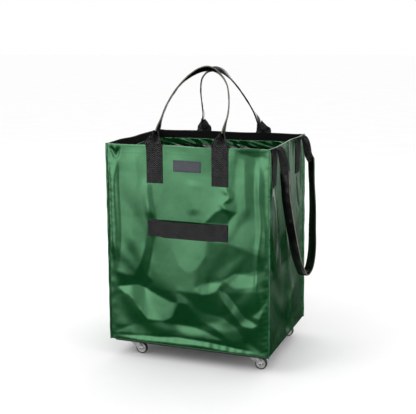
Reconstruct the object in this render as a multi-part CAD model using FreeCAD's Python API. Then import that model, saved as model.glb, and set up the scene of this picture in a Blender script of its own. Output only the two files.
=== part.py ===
import FreeCAD, Part
import math
import os

from FreeCAD import Vector

# Soft rolling tote: a tall fabric bag on a base board with four swivel casters.
# Millimetres. X is the width, Y the depth (front at -Y), Z up.
# Every size here is measured from the floor under the middle of the bag. The files are then moved
# sideways by ORIGIN_X, so that their origin is under the middle of the whole part, side strap included.
ORIGIN_X = 32.0

# ---- Bag: outer faces of the fabric box, which narrows a little towards the rim ----
BAG_WIDTH = 500.0
BAG_DEPTH = 385.0
RIM_WIDTH = 496.0
RIM_DEPTH = 370.0
PANEL_HEIGHT = 600.0
FABRIC_THICK = 2.0
CORNER_SEAM_REACH = 4.0
CORNER_SEAM_HALF_THICK = 1.0
RIM_TAPE_WIDTH = 28.0
RIM_TAPE_THICK = 1.2

# ---- Boards ----
BASE_BOARD_THICK = 6.0
BASE_BOARD_INSET = 6.0
BASE_BOARD_CORNER = 10.0
INNER_BOARD_THICK = 4.0
INNER_BOARD_GAP = 2.0

# ---- Webbing and the trim that is sewn on; SEWN_OFFSET is its place right of centre ----
SEWN_OFFSET = 4.0
WEBBING_WIDTH = 50.0
WEBBING_THICK = 1.8
ANCHOR_BOTTOM = 543.0
SIDE_ANCHOR_TOP = 637.0
CARRY_ANCHOR_SPACING = 202.0
SIDE_ANCHOR_FRONT_Y = -145.0
SIDE_ANCHOR_BACK_Y = 120.0
LABEL_LENGTH = 86.0
LABEL_HEIGHT = 33.0
LABEL_BOTTOM = 579.0
LABEL_THICK = 0.8
GRAB_LENGTH = 250.0
GRAB_BOTTOM = 385.0
GRAB_SEWN_END = 34.0
GRAB_RAMP = 22.0
GRAB_STAND_OFF = 8.0

# ---- Grip sleeves: webbing folded in half lengthwise and covered ----
SLEEVE_WIDTH = 28.0
SLEEVE_THICK = 5.0
SLEEVE_LEAD = 6.0
BEND_SHARE = 0.45

# ---- Carry handles: each lies in a plane that leans inward from its hinge at the rim ----
HANDLE_HINGE_Y = 187.0
HANDLE_HINGE_Z = 657.0
HANDLE_APEX_Z = 863.0
HANDLE_APEX_GAP = 1.0
ROOT_START = 4.0
SLEEVE_START = 31.0
# Half a handle's outline, from the sleeve's end towards its level top: (half width, height up its plane).
FRONT_OUTLINE = [(101.0, 31.0), (101.0, 118.0), (84.0, 205.0), (52.0, 255.0)]
BACK_OUTLINE = [(97.0, 31.0), (82.0, 118.0), (64.0, 185.0), (40.0, 250.0)]
APEX_HALF_RUN = 20.0
# Each handle's middle: (at its feet, at its apex). The back one is sewn further to the right.
FRONT_MIDDLES = (4.0, 6.0)
BACK_MIDDLES = (14.0, 14.0)
LEAN_ROUNDS = 20

# ---- Side strap, on the right: it hangs in a plane that leans outward from its hinge ----
STRAP_HINGE_X = 256.0
STRAP_HINGE_Z = 648.0
STRAP_ROOT_START = 6.0
STRAP_SLEEVE_TOP_Z = 588.0
STRAP_TOP_X = 283.0
STRAP_BOTTOM_X = 304.0
STRAP_BOTTOM_Z = 256.0
# The strap's outline from its front end to its back end: (depth, height). It sags towards the back.
STRAP_OUTLINE = [
    (-145.0, 588.0), (-141.0, 420.0), (-97.0, 335.0), (-20.0, 262.0),
    (62.0, 256.0), (104.0, 300.0), (118.0, 420.0), (120.0, 588.0),
]

# ---- Casters ----
CASTER_X = 192.0
CASTER_Y = 146.5
CASTER_HEIGHT = 48.0
CASTER_TRAIL = 21.6
PLATE_SIZE = 38.0
PLATE_THICK = 2.0
PLATE_CORNER = 4.0
PLATE_HOLE_OFFSET = 14.0
RACE_RADIUS = 14.0
RACE_DEPTH = 2.2
BALL_RADIUS = 1.5
BALL_CIRCLE = 10.5
BALL_COUNT = 14
KINGPIN_RADIUS = 3.0
KINGPIN_HEAD_RADIUS = 5.2
KINGPIN_HEAD_THICK = 2.0
FORK_STEEL = 1.6
FORK_TOP_Z = 41.4
FORK_DISC_RADIUS = 14.5
FORK_GAP = 15.0
FORK_BRIDGE_HALF = 9.0
FORK_EYE_RADIUS = 6.5
# A cheek's two bends, as (distance behind the kingpin, distance below the fork's top),
# and the angles at which its edges meet the round eye.
FORK_REAR_BEND = (17.0, 7.0)
FORK_FRONT_BEND = (-7.0, 9.0)
EYE_REAR_DEG = 20.0
EYE_UNDER_DEG = 220.0
WHEEL_RADIUS = 18.0
TYRE_THICK = 3.2
TYRE_WIDTH = 12.0
TYRE_SHOULDER = 1.6
CORE_WIDTH = 10.0
CORE_WEB = 4.0
CORE_RIM_THICK = 2.0
HUB_RADIUS = 6.0
HUB_WIDTH = 14.0
AXLE_RADIUS = 3.0
AXLE_HEAD_RADIUS = 4.6
AXLE_HEAD_THICK = 2.4
AXLE_HEAD_CROWN = 1.4
AXLE_END = 1.0
NUT_FLATS = 9.0
NUT_THICK = 3.6
RUNNING_GAP = 0.06
RIVET_RADIUS = 2.4
RIVET_HOLE_GAP = 0.1
RIVET_HEAD_RADIUS = 3.8
RIVET_HEAD_THICK = 1.2

# ---- Working allowances: how far cutting tools run past a face, and when two levels count as one ----
CUT_PAST = 1.0
SAME_LEVEL = 0.01

# ---- Levels worked out from the sizes above ----
PANEL_BOTTOM = CASTER_HEIGHT + BASE_BOARD_THICK
RIM_Z = PANEL_BOTTOM + PANEL_HEIGHT
RIVETED_TOP = PANEL_BOTTOM + FABRIC_THICK
INNER_BOARD_BOTTOM = RIVETED_TOP + RIVET_HEAD_THICK
LOAD_FLOOR_Z = INNER_BOARD_BOTTOM + INNER_BOARD_THICK
PLATE_BOTTOM = CASTER_HEIGHT - PLATE_THICK
LEAN_IN_DEG = math.degrees(math.atan((BAG_DEPTH - RIM_DEPTH) / 2 / PANEL_HEIGHT))
CORNERS = {"fl": (-1, -1), "fr": (1, -1), "bl": (-1, 1), "br": (1, 1)}

X_AXIS = Vector(1, 0, 0)
Y_AXIS = Vector(0, 1, 0)
Z_AXIS = Vector(0, 0, 1)


def half_width(z):
    """Half the bag's outer width at height z."""
    share = (z - PANEL_BOTTOM) / PANEL_HEIGHT
    return (BAG_WIDTH + (RIM_WIDTH - BAG_WIDTH) * share) / 2


def half_depth(z):
    """Half the bag's outer depth at height z."""
    share = (z - PANEL_BOTTOM) / PANEL_HEIGHT
    return (BAG_DEPTH + (RIM_DEPTH - BAG_DEPTH) * share) / 2


def loft(low, high):
    """A solid with straight edges between two outlines that have the same number of corners."""
    wires = [Part.makePolygon(corners + corners[:1]) for corners in (low, high)]
    return Part.makeLoft(wires, True, True)


def rectangle(x0, x1, y0, y1, z):
    """The corners of a level rectangle."""
    return [Vector(x0, y0, z), Vector(x1, y0, z), Vector(x1, y1, z), Vector(x0, y1, z)]


def bag_block(z0, z1, inset):
    """The bag's own tapered box between two heights, drawn in by inset on all four sides."""
    outlines = []
    for z in (z0, z1):
        a = half_width(z) - inset
        b = half_depth(z) - inset
        outlines.append(rectangle(-a, a, -b, b, z))
    return loft(*outlines)


def mirror_x(shape):
    return shape.mirror(Vector(0, 0, 0), X_AXIS)


def mirror_y(shape):
    return shape.mirror(Vector(0, 0, 0), Y_AXIS)


def cylinder_z(radius, z0, z1, x=0.0, y=0.0):
    return Part.makeCylinder(radius, z1 - z0, Vector(x, y, z0), Z_AXIS)


def cylinder_y(radius, y0, y1, x, z):
    return Part.makeCylinder(radius, y1 - y0, Vector(x, y0, z), Y_AXIS)


def rounded_path(points):
    """Straight runs through the points, with each corner turned into an arc as large as its runs allow."""
    edges = []
    start = points[0]
    for before, corner, after in zip(points, points[1:], points[2:]):
        back = (before - corner).normalize()
        ahead = (after - corner).normalize()
        run = BEND_SHARE * min((before - corner).Length, (after - corner).Length)
        turn = math.pi - back.getAngle(ahead)
        radius = run / math.tan(turn / 2)
        middle = (back + ahead).normalize()
        nearest = corner + middle * (radius / math.cos(turn / 2) - radius)
        arc_start = corner + back * run
        arc_end = corner + ahead * run
        edges.append(Part.LineSegment(start, arc_start).toShape())
        edges.append(Part.Arc(arc_start, nearest, arc_end).toShape())
        start = arc_end
    edges.append(Part.LineSegment(start, points[-1]).toShape())
    return Part.Wire(edges)


def sleeve_along(points, across, leaving):
    """A flat sleeve swept along the points, its width along the direction across.
    Both ends are cut square: they start along the direction leaving."""
    start, end = points[0], points[-1]
    lead = leaving * SLEEVE_LEAD
    path = rounded_path([start, start + lead] + points[1:-1] + [end + lead, end])
    sideways = leaving.cross(across)
    a = across * (SLEEVE_WIDTH / 2)
    b = sideways * (SLEEVE_THICK / 2)
    corners = [start - a - b, start + a - b, start + a + b, start - a + b]
    profile = Part.makePolygon(corners + corners[:1])
    return path.makePipeShell([profile], True, False)


# ---------------------------------------------------------------- fabric and boards

def front_panel():
    """Spans the bag's whole width; the side panels butt against its inner face."""
    outlines = []
    for z in (PANEL_BOTTOM, RIM_Z):
        a = half_width(z)
        b = half_depth(z)
        outlines.append(rectangle(-a, a, -b, -b + FABRIC_THICK, z))
    return loft(*outlines)


def right_panel():
    outlines = []
    for z in (PANEL_BOTTOM, RIM_Z):
        a = half_width(z)
        b = half_depth(z) - FABRIC_THICK
        outlines.append(rectangle(a - FABRIC_THICK, a, -b, b, z))
    return loft(*outlines)


def corner_seam(sign_x, sign_y):
    """A stitched fin of fabric that stands out diagonally along a vertical corner."""
    outlines = []
    for z in (PANEL_BOTTOM, RIM_Z):
        corner = Vector(sign_x * half_width(z), sign_y * half_depth(z), z)
        on_side = corner - Vector(0, sign_y * 2 * CORNER_SEAM_HALF_THICK, 0)
        on_front = corner - Vector(sign_x * 2 * CORNER_SEAM_HALF_THICK, 0, 0)
        out = Vector(sign_x, sign_y, 0) * CORNER_SEAM_REACH
        outlines.append([on_side, on_side + out, on_front + out, on_front, corner])
    return loft(*outlines)


def rim_tape():
    """Binding tape round the inside of the rim."""
    bottom = RIM_Z - RIM_TAPE_WIDTH
    outer = bag_block(bottom, RIM_Z, FABRIC_THICK)
    return outer.cut(bag_block(bottom, RIM_Z, FABRIC_THICK + RIM_TAPE_THICK))


def rivet_places():
    """The sixteen rivets' places: four round each caster."""
    for sign_x, sign_y in CORNERS.values():
        for step_x in (-PLATE_HOLE_OFFSET, PLATE_HOLE_OFFSET):
            for step_y in (-PLATE_HOLE_OFFSET, PLATE_HOLE_OFFSET):
                yield sign_x * CASTER_X + step_x, sign_y * CASTER_Y + step_y


def drilled(shape, z0, z1):
    """The shape with the rivets' holes through it."""
    holes = [
        cylinder_z(RIVET_RADIUS + RIVET_HOLE_GAP, z0 - CUT_PAST, z1 + CUT_PAST, x, y)
        for x, y in rivet_places()
    ]
    return shape.cut(holes)


def bottom_panel():
    whole = bag_block(PANEL_BOTTOM, RIVETED_TOP, FABRIC_THICK)
    return drilled(whole, PANEL_BOTTOM, RIVETED_TOP)


def inner_board():
    """The loose stiffening board, which lies on the rivets' heads and is the load floor."""
    return bag_block(INNER_BOARD_BOTTOM, LOAD_FLOOR_Z, FABRIC_THICK + INNER_BOARD_GAP)


def base_board():
    a = BAG_WIDTH / 2 - BASE_BOARD_INSET
    b = BAG_DEPTH / 2 - BASE_BOARD_INSET
    board = Part.makeBox(2 * a, 2 * b, BASE_BOARD_THICK, Vector(-a, -b, CASTER_HEIGHT))
    upright = [e for e in board.Edges if e.BoundBox.ZLength > BASE_BOARD_THICK / 2]
    board = board.makeFillet(BASE_BOARD_CORNER, upright)
    return drilled(board, CASTER_HEIGHT, PANEL_BOTTOM)


def rivet(x, y):
    """A flat-headed rivet from under a caster plate up through the base board and the fabric."""
    shank = cylinder_z(RIVET_RADIUS, PLATE_BOTTOM, RIVETED_TOP, x, y)
    lower = cylinder_z(RIVET_HEAD_RADIUS, PLATE_BOTTOM - RIVET_HEAD_THICK, PLATE_BOTTOM, x, y)
    upper = cylinder_z(RIVET_HEAD_RADIUS, RIVETED_TOP, INNER_BOARD_BOTTOM, x, y)
    return shank.fuse([lower, upper]).removeSplitter()


# ---------------------------------------------------------------- sewn-on trim

def flat_on_front(x0, x1, z0, z1, thick):
    """A flat piece that lies against the front panel."""
    outlines = []
    for z in (z0, z1):
        b = half_depth(z)
        outlines.append(rectangle(x0, x1, -b - thick, -b, z))
    return loft(*outlines)


def flat_on_right(y0, y1, z0, z1, thick):
    """A flat piece that lies against the right panel."""
    outlines = []
    for z in (z0, z1):
        a = half_width(z)
        outlines.append(rectangle(a, a + thick, y0, y1, z))
    return loft(*outlines)


def handle_anchors(middles):
    """The two lengths of webbing that are sewn down the front, up to the rim."""
    anchors = []
    for side in (-1, 1):
        middle = middles[0] + side * CARRY_ANCHOR_SPACING / 2
        x0 = middle - WEBBING_WIDTH / 2
        anchors.append(flat_on_front(x0, x0 + WEBBING_WIDTH, ANCHOR_BOTTOM, RIM_Z, WEBBING_THICK))
    return Part.makeCompound(anchors)


def strap_anchors():
    anchors = []
    for middle in (SIDE_ANCHOR_FRONT_Y, SIDE_ANCHOR_BACK_Y):
        y0 = middle - WEBBING_WIDTH / 2
        y1 = y0 + WEBBING_WIDTH
        anchors.append(flat_on_right(y0, y1, ANCHOR_BOTTOM, SIDE_ANCHOR_TOP, WEBBING_THICK))
    return Part.makeCompound(anchors)


def label():
    x0 = SEWN_OFFSET - LABEL_LENGTH / 2
    top = LABEL_BOTTOM + LABEL_HEIGHT
    return flat_on_front(x0, x0 + LABEL_LENGTH, LABEL_BOTTOM, top, LABEL_THICK)


def front_grab_handle():
    """Webbing sewn down at both ends, standing off the panel between them to leave a finger gap."""
    half = GRAB_LENGTH / 2
    flat_end = half - GRAB_SEWN_END
    ramp_end = flat_end - GRAB_RAMP
    near = [(-half, 0), (-flat_end, 0), (-ramp_end, GRAB_STAND_OFF)]
    near += [(-x, off) for x, off in reversed(near)]
    far = [(x, off + WEBBING_THICK) for x, off in reversed(near)]
    outline = [Vector(SEWN_OFFSET + x, -off, 0) for x, off in near + far]
    strip = Part.Face(Part.makePolygon(outline + outline[:1])).extrude(Z_AXIS * WEBBING_WIDTH)
    strip.rotate(Vector(0, 0, 0), X_AXIS, -LEAN_IN_DEG)
    strip.translate(Vector(0, -half_depth(GRAB_BOTTOM), GRAB_BOTTOM))
    return strip


# ---------------------------------------------------------------- carry handles

def handle_plane():
    """The front handle's hinge point, its direction up the plane and the plane's normal.
    The sleeve's reach towards the back depends on the lean, so the lean is settled in rounds."""
    hinge = Vector(0, -HANDLE_HINGE_Y, HANDLE_HINGE_Z)
    rise = HANDLE_APEX_Z - HANDLE_HINGE_Z
    apex_y = -SLEEVE_WIDTH / 2 - HANDLE_APEX_GAP
    for _ in range(LEAN_ROUNDS):
        up = Vector(0, apex_y + HANDLE_HINGE_Y, rise).normalize()
        reach = up.z * SLEEVE_WIDTH / 2 + up.y * SLEEVE_THICK / 2
        apex_y = -HANDLE_APEX_GAP - reach
    return hinge, up, up.cross(X_AXIS)


def handle_length():
    """The distance from the hinge to the apex, up the handle's plane."""
    _, up, _ = handle_plane()
    return (HANDLE_APEX_Z - HANDLE_HINGE_Z) / up.z


def handle_sleeve(outline, middles):
    """The covered grip, an arch in the handle's plane."""
    hinge, up, normal = handle_plane()
    top = handle_length()
    foot_x, apex_x = middles
    half_side = outline + [(APEX_HALF_RUN, top)]
    points = [(-x, s) for x, s in half_side] + [(x, s) for x, s in reversed(half_side)]
    path = []
    for x, s in points:
        shift = foot_x + (apex_x - foot_x) * (s - SLEEVE_START) / (top - SLEEVE_START)
        path.append(hinge + up * s + Vector(shift + x, 0, 0))
    return sleeve_along(path, normal, up)


def handle_roots(outline, middles):
    """Webbing that leaves the rim flat and is pinched in half where the sleeve takes it."""
    hinge, up, normal = handle_plane()
    roots = []
    for side in (-1, 1):
        low_x = middles[0] + side * CARRY_ANCHOR_SPACING / 2
        high_x = middles[0] + side * outline[0][0]
        low = root_section(hinge + up * ROOT_START, low_x, WEBBING_WIDTH, WEBBING_THICK, normal)
        high = root_section(hinge + up * SLEEVE_START, high_x, SLEEVE_THICK, SLEEVE_WIDTH, normal)
        roots.append(loft(low, high))
    return Part.makeCompound(roots)


def root_section(middle, x, size_x, size_normal, normal):
    """The corners of a section of webbing across the handle's plane."""
    a = Vector(size_x / 2, 0, 0)
    b = normal * (size_normal / 2)
    centre = Vector(x, middle.y, middle.z)
    return [centre - a - b, centre + a - b, centre + a + b, centre - a + b]


# ---------------------------------------------------------------- side strap

def strap_plane():
    """The strap's top point, its direction down the plane and the plane's normal."""
    top = Vector(STRAP_TOP_X, 0, STRAP_SLEEVE_TOP_Z)
    down = (Vector(STRAP_BOTTOM_X, 0, STRAP_BOTTOM_Z) - top).normalize()
    return top, down, down.cross(Y_AXIS)


def strap_sleeve():
    top, down, normal = strap_plane()
    path = []
    for y, z in STRAP_OUTLINE:
        along = (z - STRAP_SLEEVE_TOP_Z) / down.z
        path.append(top + down * along + Vector(0, y, 0))
    return sleeve_along(path, normal, down)


def strap_roots():
    """Webbing that folds outward over the anchor's top and is pinched into the sleeve."""
    top, down, normal = strap_plane()
    hinge = Vector(STRAP_HINGE_X, 0, STRAP_HINGE_Z)
    out = (top - hinge).normalize()
    face = out.cross(Y_AXIS)
    roots = []
    for middle_y in (SIDE_ANCHOR_FRONT_Y, SIDE_ANCHOR_BACK_Y):
        across = Vector(0, middle_y, 0)
        low = strap_section(hinge + out * STRAP_ROOT_START + across, WEBBING_WIDTH, WEBBING_THICK, face)
        high = strap_section(top + across, SLEEVE_THICK, SLEEVE_WIDTH, normal)
        roots.append(loft(low, high))
    return Part.makeCompound(roots)


def strap_section(centre, size_y, size_normal, normal):
    a = Vector(0, size_y / 2, 0)
    b = normal * (size_normal / 2)
    return [centre - a - b, centre + a - b, centre + a + b, centre - a + b]


# ---------------------------------------------------------------- casters, about their own swivel axis

def caster_plate():
    """A square plate with a raceway pressed down under it."""
    half = PLATE_SIZE / 2
    plate = Part.makeBox(PLATE_SIZE, PLATE_SIZE, PLATE_THICK, Vector(-half, -half, PLATE_BOTTOM))
    upright = [e for e in plate.Edges if e.BoundBox.ZLength > PLATE_THICK / 2]
    plate = plate.makeFillet(PLATE_CORNER, upright)
    race = cylinder_z(RACE_RADIUS, PLATE_BOTTOM - RACE_DEPTH, PLATE_BOTTOM)
    plate = plate.fuse(race).removeSplitter()
    plate = plate.cut(ball_track())
    top = CASTER_HEIGHT + CUT_PAST
    cuts = [cylinder_z(KINGPIN_RADIUS, PLATE_BOTTOM - RACE_DEPTH - CUT_PAST, top)]
    for step_x in (-PLATE_HOLE_OFFSET, PLATE_HOLE_OFFSET):
        for step_y in (-PLATE_HOLE_OFFSET, PLATE_HOLE_OFFSET):
            radius = RIVET_RADIUS + RIVET_HOLE_GAP
            cuts.append(cylinder_z(radius, PLATE_BOTTOM - CUT_PAST, top, step_x, step_y))
    return plate.cut(cuts)


def ball_track():
    """The round groove that the balls run in."""
    return Part.makeTorus(BALL_CIRCLE, BALL_RADIUS + RUNNING_GAP, Vector(0, 0, ball_level()), Z_AXIS)


def ball_level():
    """The balls' height: halfway between the raceway and the fork's top."""
    return (PLATE_BOTTOM - RACE_DEPTH + FORK_TOP_Z) / 2


def ball_ring():
    balls = []
    for step in range(BALL_COUNT):
        turn = 2 * math.pi * step / BALL_COUNT
        centre = Vector(BALL_CIRCLE * math.cos(turn), BALL_CIRCLE * math.sin(turn), ball_level())
        balls.append(Part.makeSphere(BALL_RADIUS, centre))
    return Part.makeCompound(balls)


def kingpin():
    """Fast in the plate; the fork turns on it and hangs on its lower head."""
    low = FORK_TOP_Z - FORK_STEEL - KINGPIN_HEAD_THICK - RUNNING_GAP
    pin = cylinder_z(KINGPIN_RADIUS, low, CASTER_HEIGHT)
    head = cylinder_z(KINGPIN_HEAD_RADIUS, low, low + KINGPIN_HEAD_THICK)
    return pin.fuse(head).removeSplitter()


def fork():
    """A pressed-steel fork: a round top and two cheeks that trail back to the axle."""
    top_low = FORK_TOP_Z - FORK_STEEL
    disc = cylinder_z(FORK_DISC_RADIUS, top_low, FORK_TOP_Z)
    bridge_half = FORK_GAP / 2 + FORK_STEEL
    corner = Vector(-FORK_BRIDGE_HALF, -bridge_half, top_low)
    bridge = Part.makeBox(2 * FORK_BRIDGE_HALF, 2 * bridge_half, FORK_STEEL, corner)
    solids = [bridge]
    for side in (-1, 1):
        y0 = FORK_GAP / 2 if side > 0 else -bridge_half
        solids.append(cheek(y0))
    body = disc.fuse(solids).removeSplitter()
    cuts = [
        ball_track(),
        cylinder_z(KINGPIN_RADIUS + RUNNING_GAP, top_low - CUT_PAST, FORK_TOP_Z + CUT_PAST),
        axle_hole(-bridge_half, bridge_half),
    ]
    return body.cut(cuts)


def cheek(y0):
    """One side of the fork, from the top's edge down to a round eye at the axle."""
    places = [
        (-FORK_BRIDGE_HALF, FORK_TOP_Z),
        (FORK_BRIDGE_HALF, FORK_TOP_Z),
        (FORK_REAR_BEND[0], FORK_TOP_Z - FORK_REAR_BEND[1]),
        eye_edge(EYE_REAR_DEG),
        eye_edge(EYE_UNDER_DEG),
        (FORK_FRONT_BEND[0], FORK_TOP_Z - FORK_FRONT_BEND[1]),
    ]
    outline = [Vector(x, y0, z) for x, z in places]
    side = Part.Face(Part.makePolygon(outline + outline[:1])).extrude(Y_AXIS * FORK_STEEL)
    eye = cylinder_y(FORK_EYE_RADIUS, y0, y0 + FORK_STEEL, CASTER_TRAIL, WHEEL_RADIUS)
    return side.fuse(eye).removeSplitter()


def eye_edge(degrees):
    """The (x, z) place on the edge of the fork's eye at an angle above the rearward direction."""
    turn = math.radians(degrees)
    x = CASTER_TRAIL + FORK_EYE_RADIUS * math.cos(turn)
    return x, WHEEL_RADIUS + FORK_EYE_RADIUS * math.sin(turn)


def axle_hole(y0, y1):
    """The cutter for the axle's hole through whatever lies between two depths."""
    return cylinder_y(AXLE_RADIUS, y0 - CUT_PAST, y1 + CUT_PAST, CASTER_TRAIL, WHEEL_RADIUS)


def turned(profile):
    """A solid turned about the axle from an outline of (distance along the axle, radius)."""
    points = [Vector(CASTER_TRAIL, y, WHEEL_RADIUS + r) for y, r in profile]
    face = Part.Face(Part.makePolygon(points + points[:1]))
    return face.revolve(Vector(CASTER_TRAIL, 0, WHEEL_RADIUS), Y_AXIS, 360)


def wheel_core():
    """A dished disc with a hub that runs on the axle."""
    rim = WHEEL_RADIUS - TYRE_THICK
    bore = AXLE_RADIUS + RUNNING_GAP
    half_hub, half_core, half_web = HUB_WIDTH / 2, CORE_WIDTH / 2, CORE_WEB / 2
    inner = rim - CORE_RIM_THICK
    one_side = [
        (half_hub, bore), (half_hub, HUB_RADIUS), (half_web, HUB_RADIUS),
        (half_web, inner), (half_core, inner), (half_core, rim),
    ]
    return turned(one_side + [(-y, r) for y, r in reversed(one_side)])


def tyre():
    half = TYRE_WIDTH / 2
    inner = WHEEL_RADIUS - TYRE_THICK
    profile = [
        (-half, inner), (half, inner), (half, WHEEL_RADIUS - TYRE_SHOULDER),
        (half - TYRE_SHOULDER, WHEEL_RADIUS), (TYRE_SHOULDER - half, WHEEL_RADIUS),
        (-half, WHEEL_RADIUS - TYRE_SHOULDER),
    ]
    return turned(profile)


def axle_bolt():
    """Fast in the fork's cheeks, with a domed head on the -Y side."""
    face = FORK_GAP / 2 + FORK_STEEL
    shank = cylinder_y(AXLE_RADIUS, -face, face + NUT_THICK + AXLE_END, CASTER_TRAIL, WHEEL_RADIUS)
    head_low = -face - AXLE_HEAD_THICK
    head = cylinder_y(AXLE_HEAD_RADIUS, head_low, -face, CASTER_TRAIL, WHEEL_RADIUS)
    crown = [e for e in head.Edges if e.BoundBox.YMax < head_low + SAME_LEVEL]
    head = head.makeFillet(AXLE_HEAD_CROWN, crown)
    return shank.fuse(head).removeSplitter()


def axle_nut():
    face = FORK_GAP / 2 + FORK_STEEL
    corner = NUT_FLATS / math.sqrt(3)
    points = []
    for step in range(6):
        turn = math.pi / 3 * step
        x = CASTER_TRAIL + corner * math.cos(turn)
        points.append(Vector(x, face, WHEEL_RADIUS + corner * math.sin(turn)))
    nut = Part.Face(Part.makePolygon(points + points[:1])).extrude(Y_AXIS * NUT_THICK)
    return nut.cut(axle_hole(face, face + NUT_THICK))


CASTER_PIECES = {
    "plate": caster_plate,
    "kingpin": kingpin,
    "balls": ball_ring,
    "fork": fork,
    "wheel_core": wheel_core,
    "tyre": tyre,
    "axle_bolt": axle_bolt,
    "axle_nut": axle_nut,
}


def save(node, shape):
    """Write one sub-part and report its volume."""
    solids = shape.Solids
    sound = shape.isValid() and all(s.isClosed() for s in solids)
    volume = sum(s.Volume for s in solids) / 1000
    print(f"{node:24s} solids {len(solids):2d}  {volume:9.2f} cm3  {'ok' if sound else 'BROKEN'}")
    placed = shape.copy()
    placed.translate(Vector(-ORIGIN_X, 0, 0))
    placed.exportStep(f"parts/{node}.step")


def save_bag():
    front = front_panel()
    right = right_panel()
    save("front_panel", front)
    save("back_panel", mirror_y(front))
    save("right_panel", right)
    save("left_panel", mirror_x(right))
    save("bottom_panel", bottom_panel())
    save("base_board", base_board())
    save("inner_board", inner_board())
    save("rim_tape", rim_tape())
    save("corner_seams", Part.makeCompound([corner_seam(x, y) for x, y in CORNERS.values()]))
    save("board_rivets", Part.makeCompound([rivet(x, y) for x, y in rivet_places()]))
    save("label", label())


def save_straps():
    grab = front_grab_handle()
    save("front_grab_handle", grab)
    save("back_grab_handle", mirror_y(grab))
    save("front_handle_anchors", handle_anchors(FRONT_MIDDLES))
    save("back_handle_anchors", mirror_y(handle_anchors(BACK_MIDDLES)))
    save("front_handle_roots", handle_roots(FRONT_OUTLINE, FRONT_MIDDLES))
    save("back_handle_roots", mirror_y(handle_roots(BACK_OUTLINE, BACK_MIDDLES)))
    save("front_handle_sleeve", handle_sleeve(FRONT_OUTLINE, FRONT_MIDDLES))
    save("back_handle_sleeve", mirror_y(handle_sleeve(BACK_OUTLINE, BACK_MIDDLES)))
    save("side_strap_anchors", strap_anchors())
    save("side_strap_roots", strap_roots())
    save("side_strap_sleeve", strap_sleeve())


def save_casters():
    for piece, make in CASTER_PIECES.items():
        shape = make()
        for corner, (sign_x, sign_y) in CORNERS.items():
            placed = shape.copy()
            placed.translate(Vector(sign_x * CASTER_X, sign_y * CASTER_Y, 0))
            save(f"caster_{corner}_{piece}", placed)


os.makedirs("parts", exist_ok=True)
save_bag()
save_straps()
save_casters()
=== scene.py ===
import math
import random

import bpy
import numpy as np
from mathutils import Matrix, Vector


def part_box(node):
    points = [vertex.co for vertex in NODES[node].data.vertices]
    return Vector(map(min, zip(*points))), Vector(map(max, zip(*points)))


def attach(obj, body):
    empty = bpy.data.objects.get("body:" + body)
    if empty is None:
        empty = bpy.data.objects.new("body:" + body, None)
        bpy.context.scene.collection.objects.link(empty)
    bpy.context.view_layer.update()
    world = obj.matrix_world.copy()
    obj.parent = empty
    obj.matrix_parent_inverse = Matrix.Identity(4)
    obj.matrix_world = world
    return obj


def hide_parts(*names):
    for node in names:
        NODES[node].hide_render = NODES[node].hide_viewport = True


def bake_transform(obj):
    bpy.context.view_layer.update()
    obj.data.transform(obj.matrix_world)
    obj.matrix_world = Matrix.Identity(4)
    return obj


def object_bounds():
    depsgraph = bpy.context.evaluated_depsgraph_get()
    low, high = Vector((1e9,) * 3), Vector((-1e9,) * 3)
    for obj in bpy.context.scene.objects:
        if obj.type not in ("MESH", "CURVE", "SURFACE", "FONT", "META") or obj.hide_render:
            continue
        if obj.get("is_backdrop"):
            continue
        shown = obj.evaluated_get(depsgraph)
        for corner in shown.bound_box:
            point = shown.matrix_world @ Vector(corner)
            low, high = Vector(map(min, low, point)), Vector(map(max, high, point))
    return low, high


# Soft rolling tote: glossy green laminate walls, black webbing and vinyl straps, zinc casters.
# Everything is in metres in the CAD frame: X is the width, Y the depth (front at -Y), Z up.
# The bag's own middle is at BAG_X, since the frame's origin is under the middle of bag and side strap.

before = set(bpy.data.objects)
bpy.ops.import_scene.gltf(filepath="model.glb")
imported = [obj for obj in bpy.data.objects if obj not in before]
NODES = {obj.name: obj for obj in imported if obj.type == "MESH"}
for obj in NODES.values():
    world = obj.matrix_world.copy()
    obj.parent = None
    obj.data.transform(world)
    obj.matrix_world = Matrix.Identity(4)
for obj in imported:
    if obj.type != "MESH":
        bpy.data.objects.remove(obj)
cad_low, cad_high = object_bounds()
MM = 0.001


def half_span(node, axis, top):
    """Half the span along an axis (0 for X, 1 for Y) of a node's highest or lowest vertices."""
    points = [v.co for v in NODES[node].data.vertices]
    heights = [p.z for p in points]
    level = max(heights) if top else min(heights)
    reach = [p[axis] for p in points if abs(p.z - level) < 0.5 * MM]
    return (max(reach) - min(reach)) / 2


# ---- The bag's outer walls, read from the frame ----

PANEL_LOW, PANEL_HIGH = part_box("front_panel")
BAG_X = (PANEL_LOW.x + PANEL_HIGH.x) / 2
BASE_Z, RIM_Z = PANEL_LOW.z, PANEL_HIGH.z
WALL_HEIGHT = RIM_Z - BASE_Z
WALL_PLATE = 2 * MM
BASE_HALF_X = half_span("front_panel", 0, False)
RIM_HALF_X = half_span("front_panel", 0, True)
BASE_HALF_Y = half_span("right_panel", 1, False) + WALL_PLATE
RIM_HALF_Y = half_span("right_panel", 1, True) + WALL_PLATE
FABRIC = 1.6 * MM
# The grids are this many times coarser.
FINE = 1
GRID_STEP = 3.2 * MM * FINE

FRONT, BACK, RIGHT, LEFT = "front", "back", "right", "left"
WALLS = (FRONT, BACK, RIGHT, LEFT)
# Each wall's own directions: across it, and out of the bag.
AXES = {
    FRONT: (np.array([1.0, 0, 0]), np.array([0, -1.0, 0])),
    BACK: (np.array([-1.0, 0, 0]), np.array([0, 1.0, 0])),
    RIGHT: (np.array([0, 1.0, 0]), np.array([1.0, 0, 0])),
    LEFT: (np.array([0, -1.0, 0]), np.array([-1.0, 0, 0])),
}
UP = np.array([0, 0, 1.0])
MIDDLE = np.array([BAG_X, 0, 0])


def wall_half(wall):
    return BASE_HALF_X if wall in (FRONT, BACK) else BASE_HALF_Y


# ---- Materials ----

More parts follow.
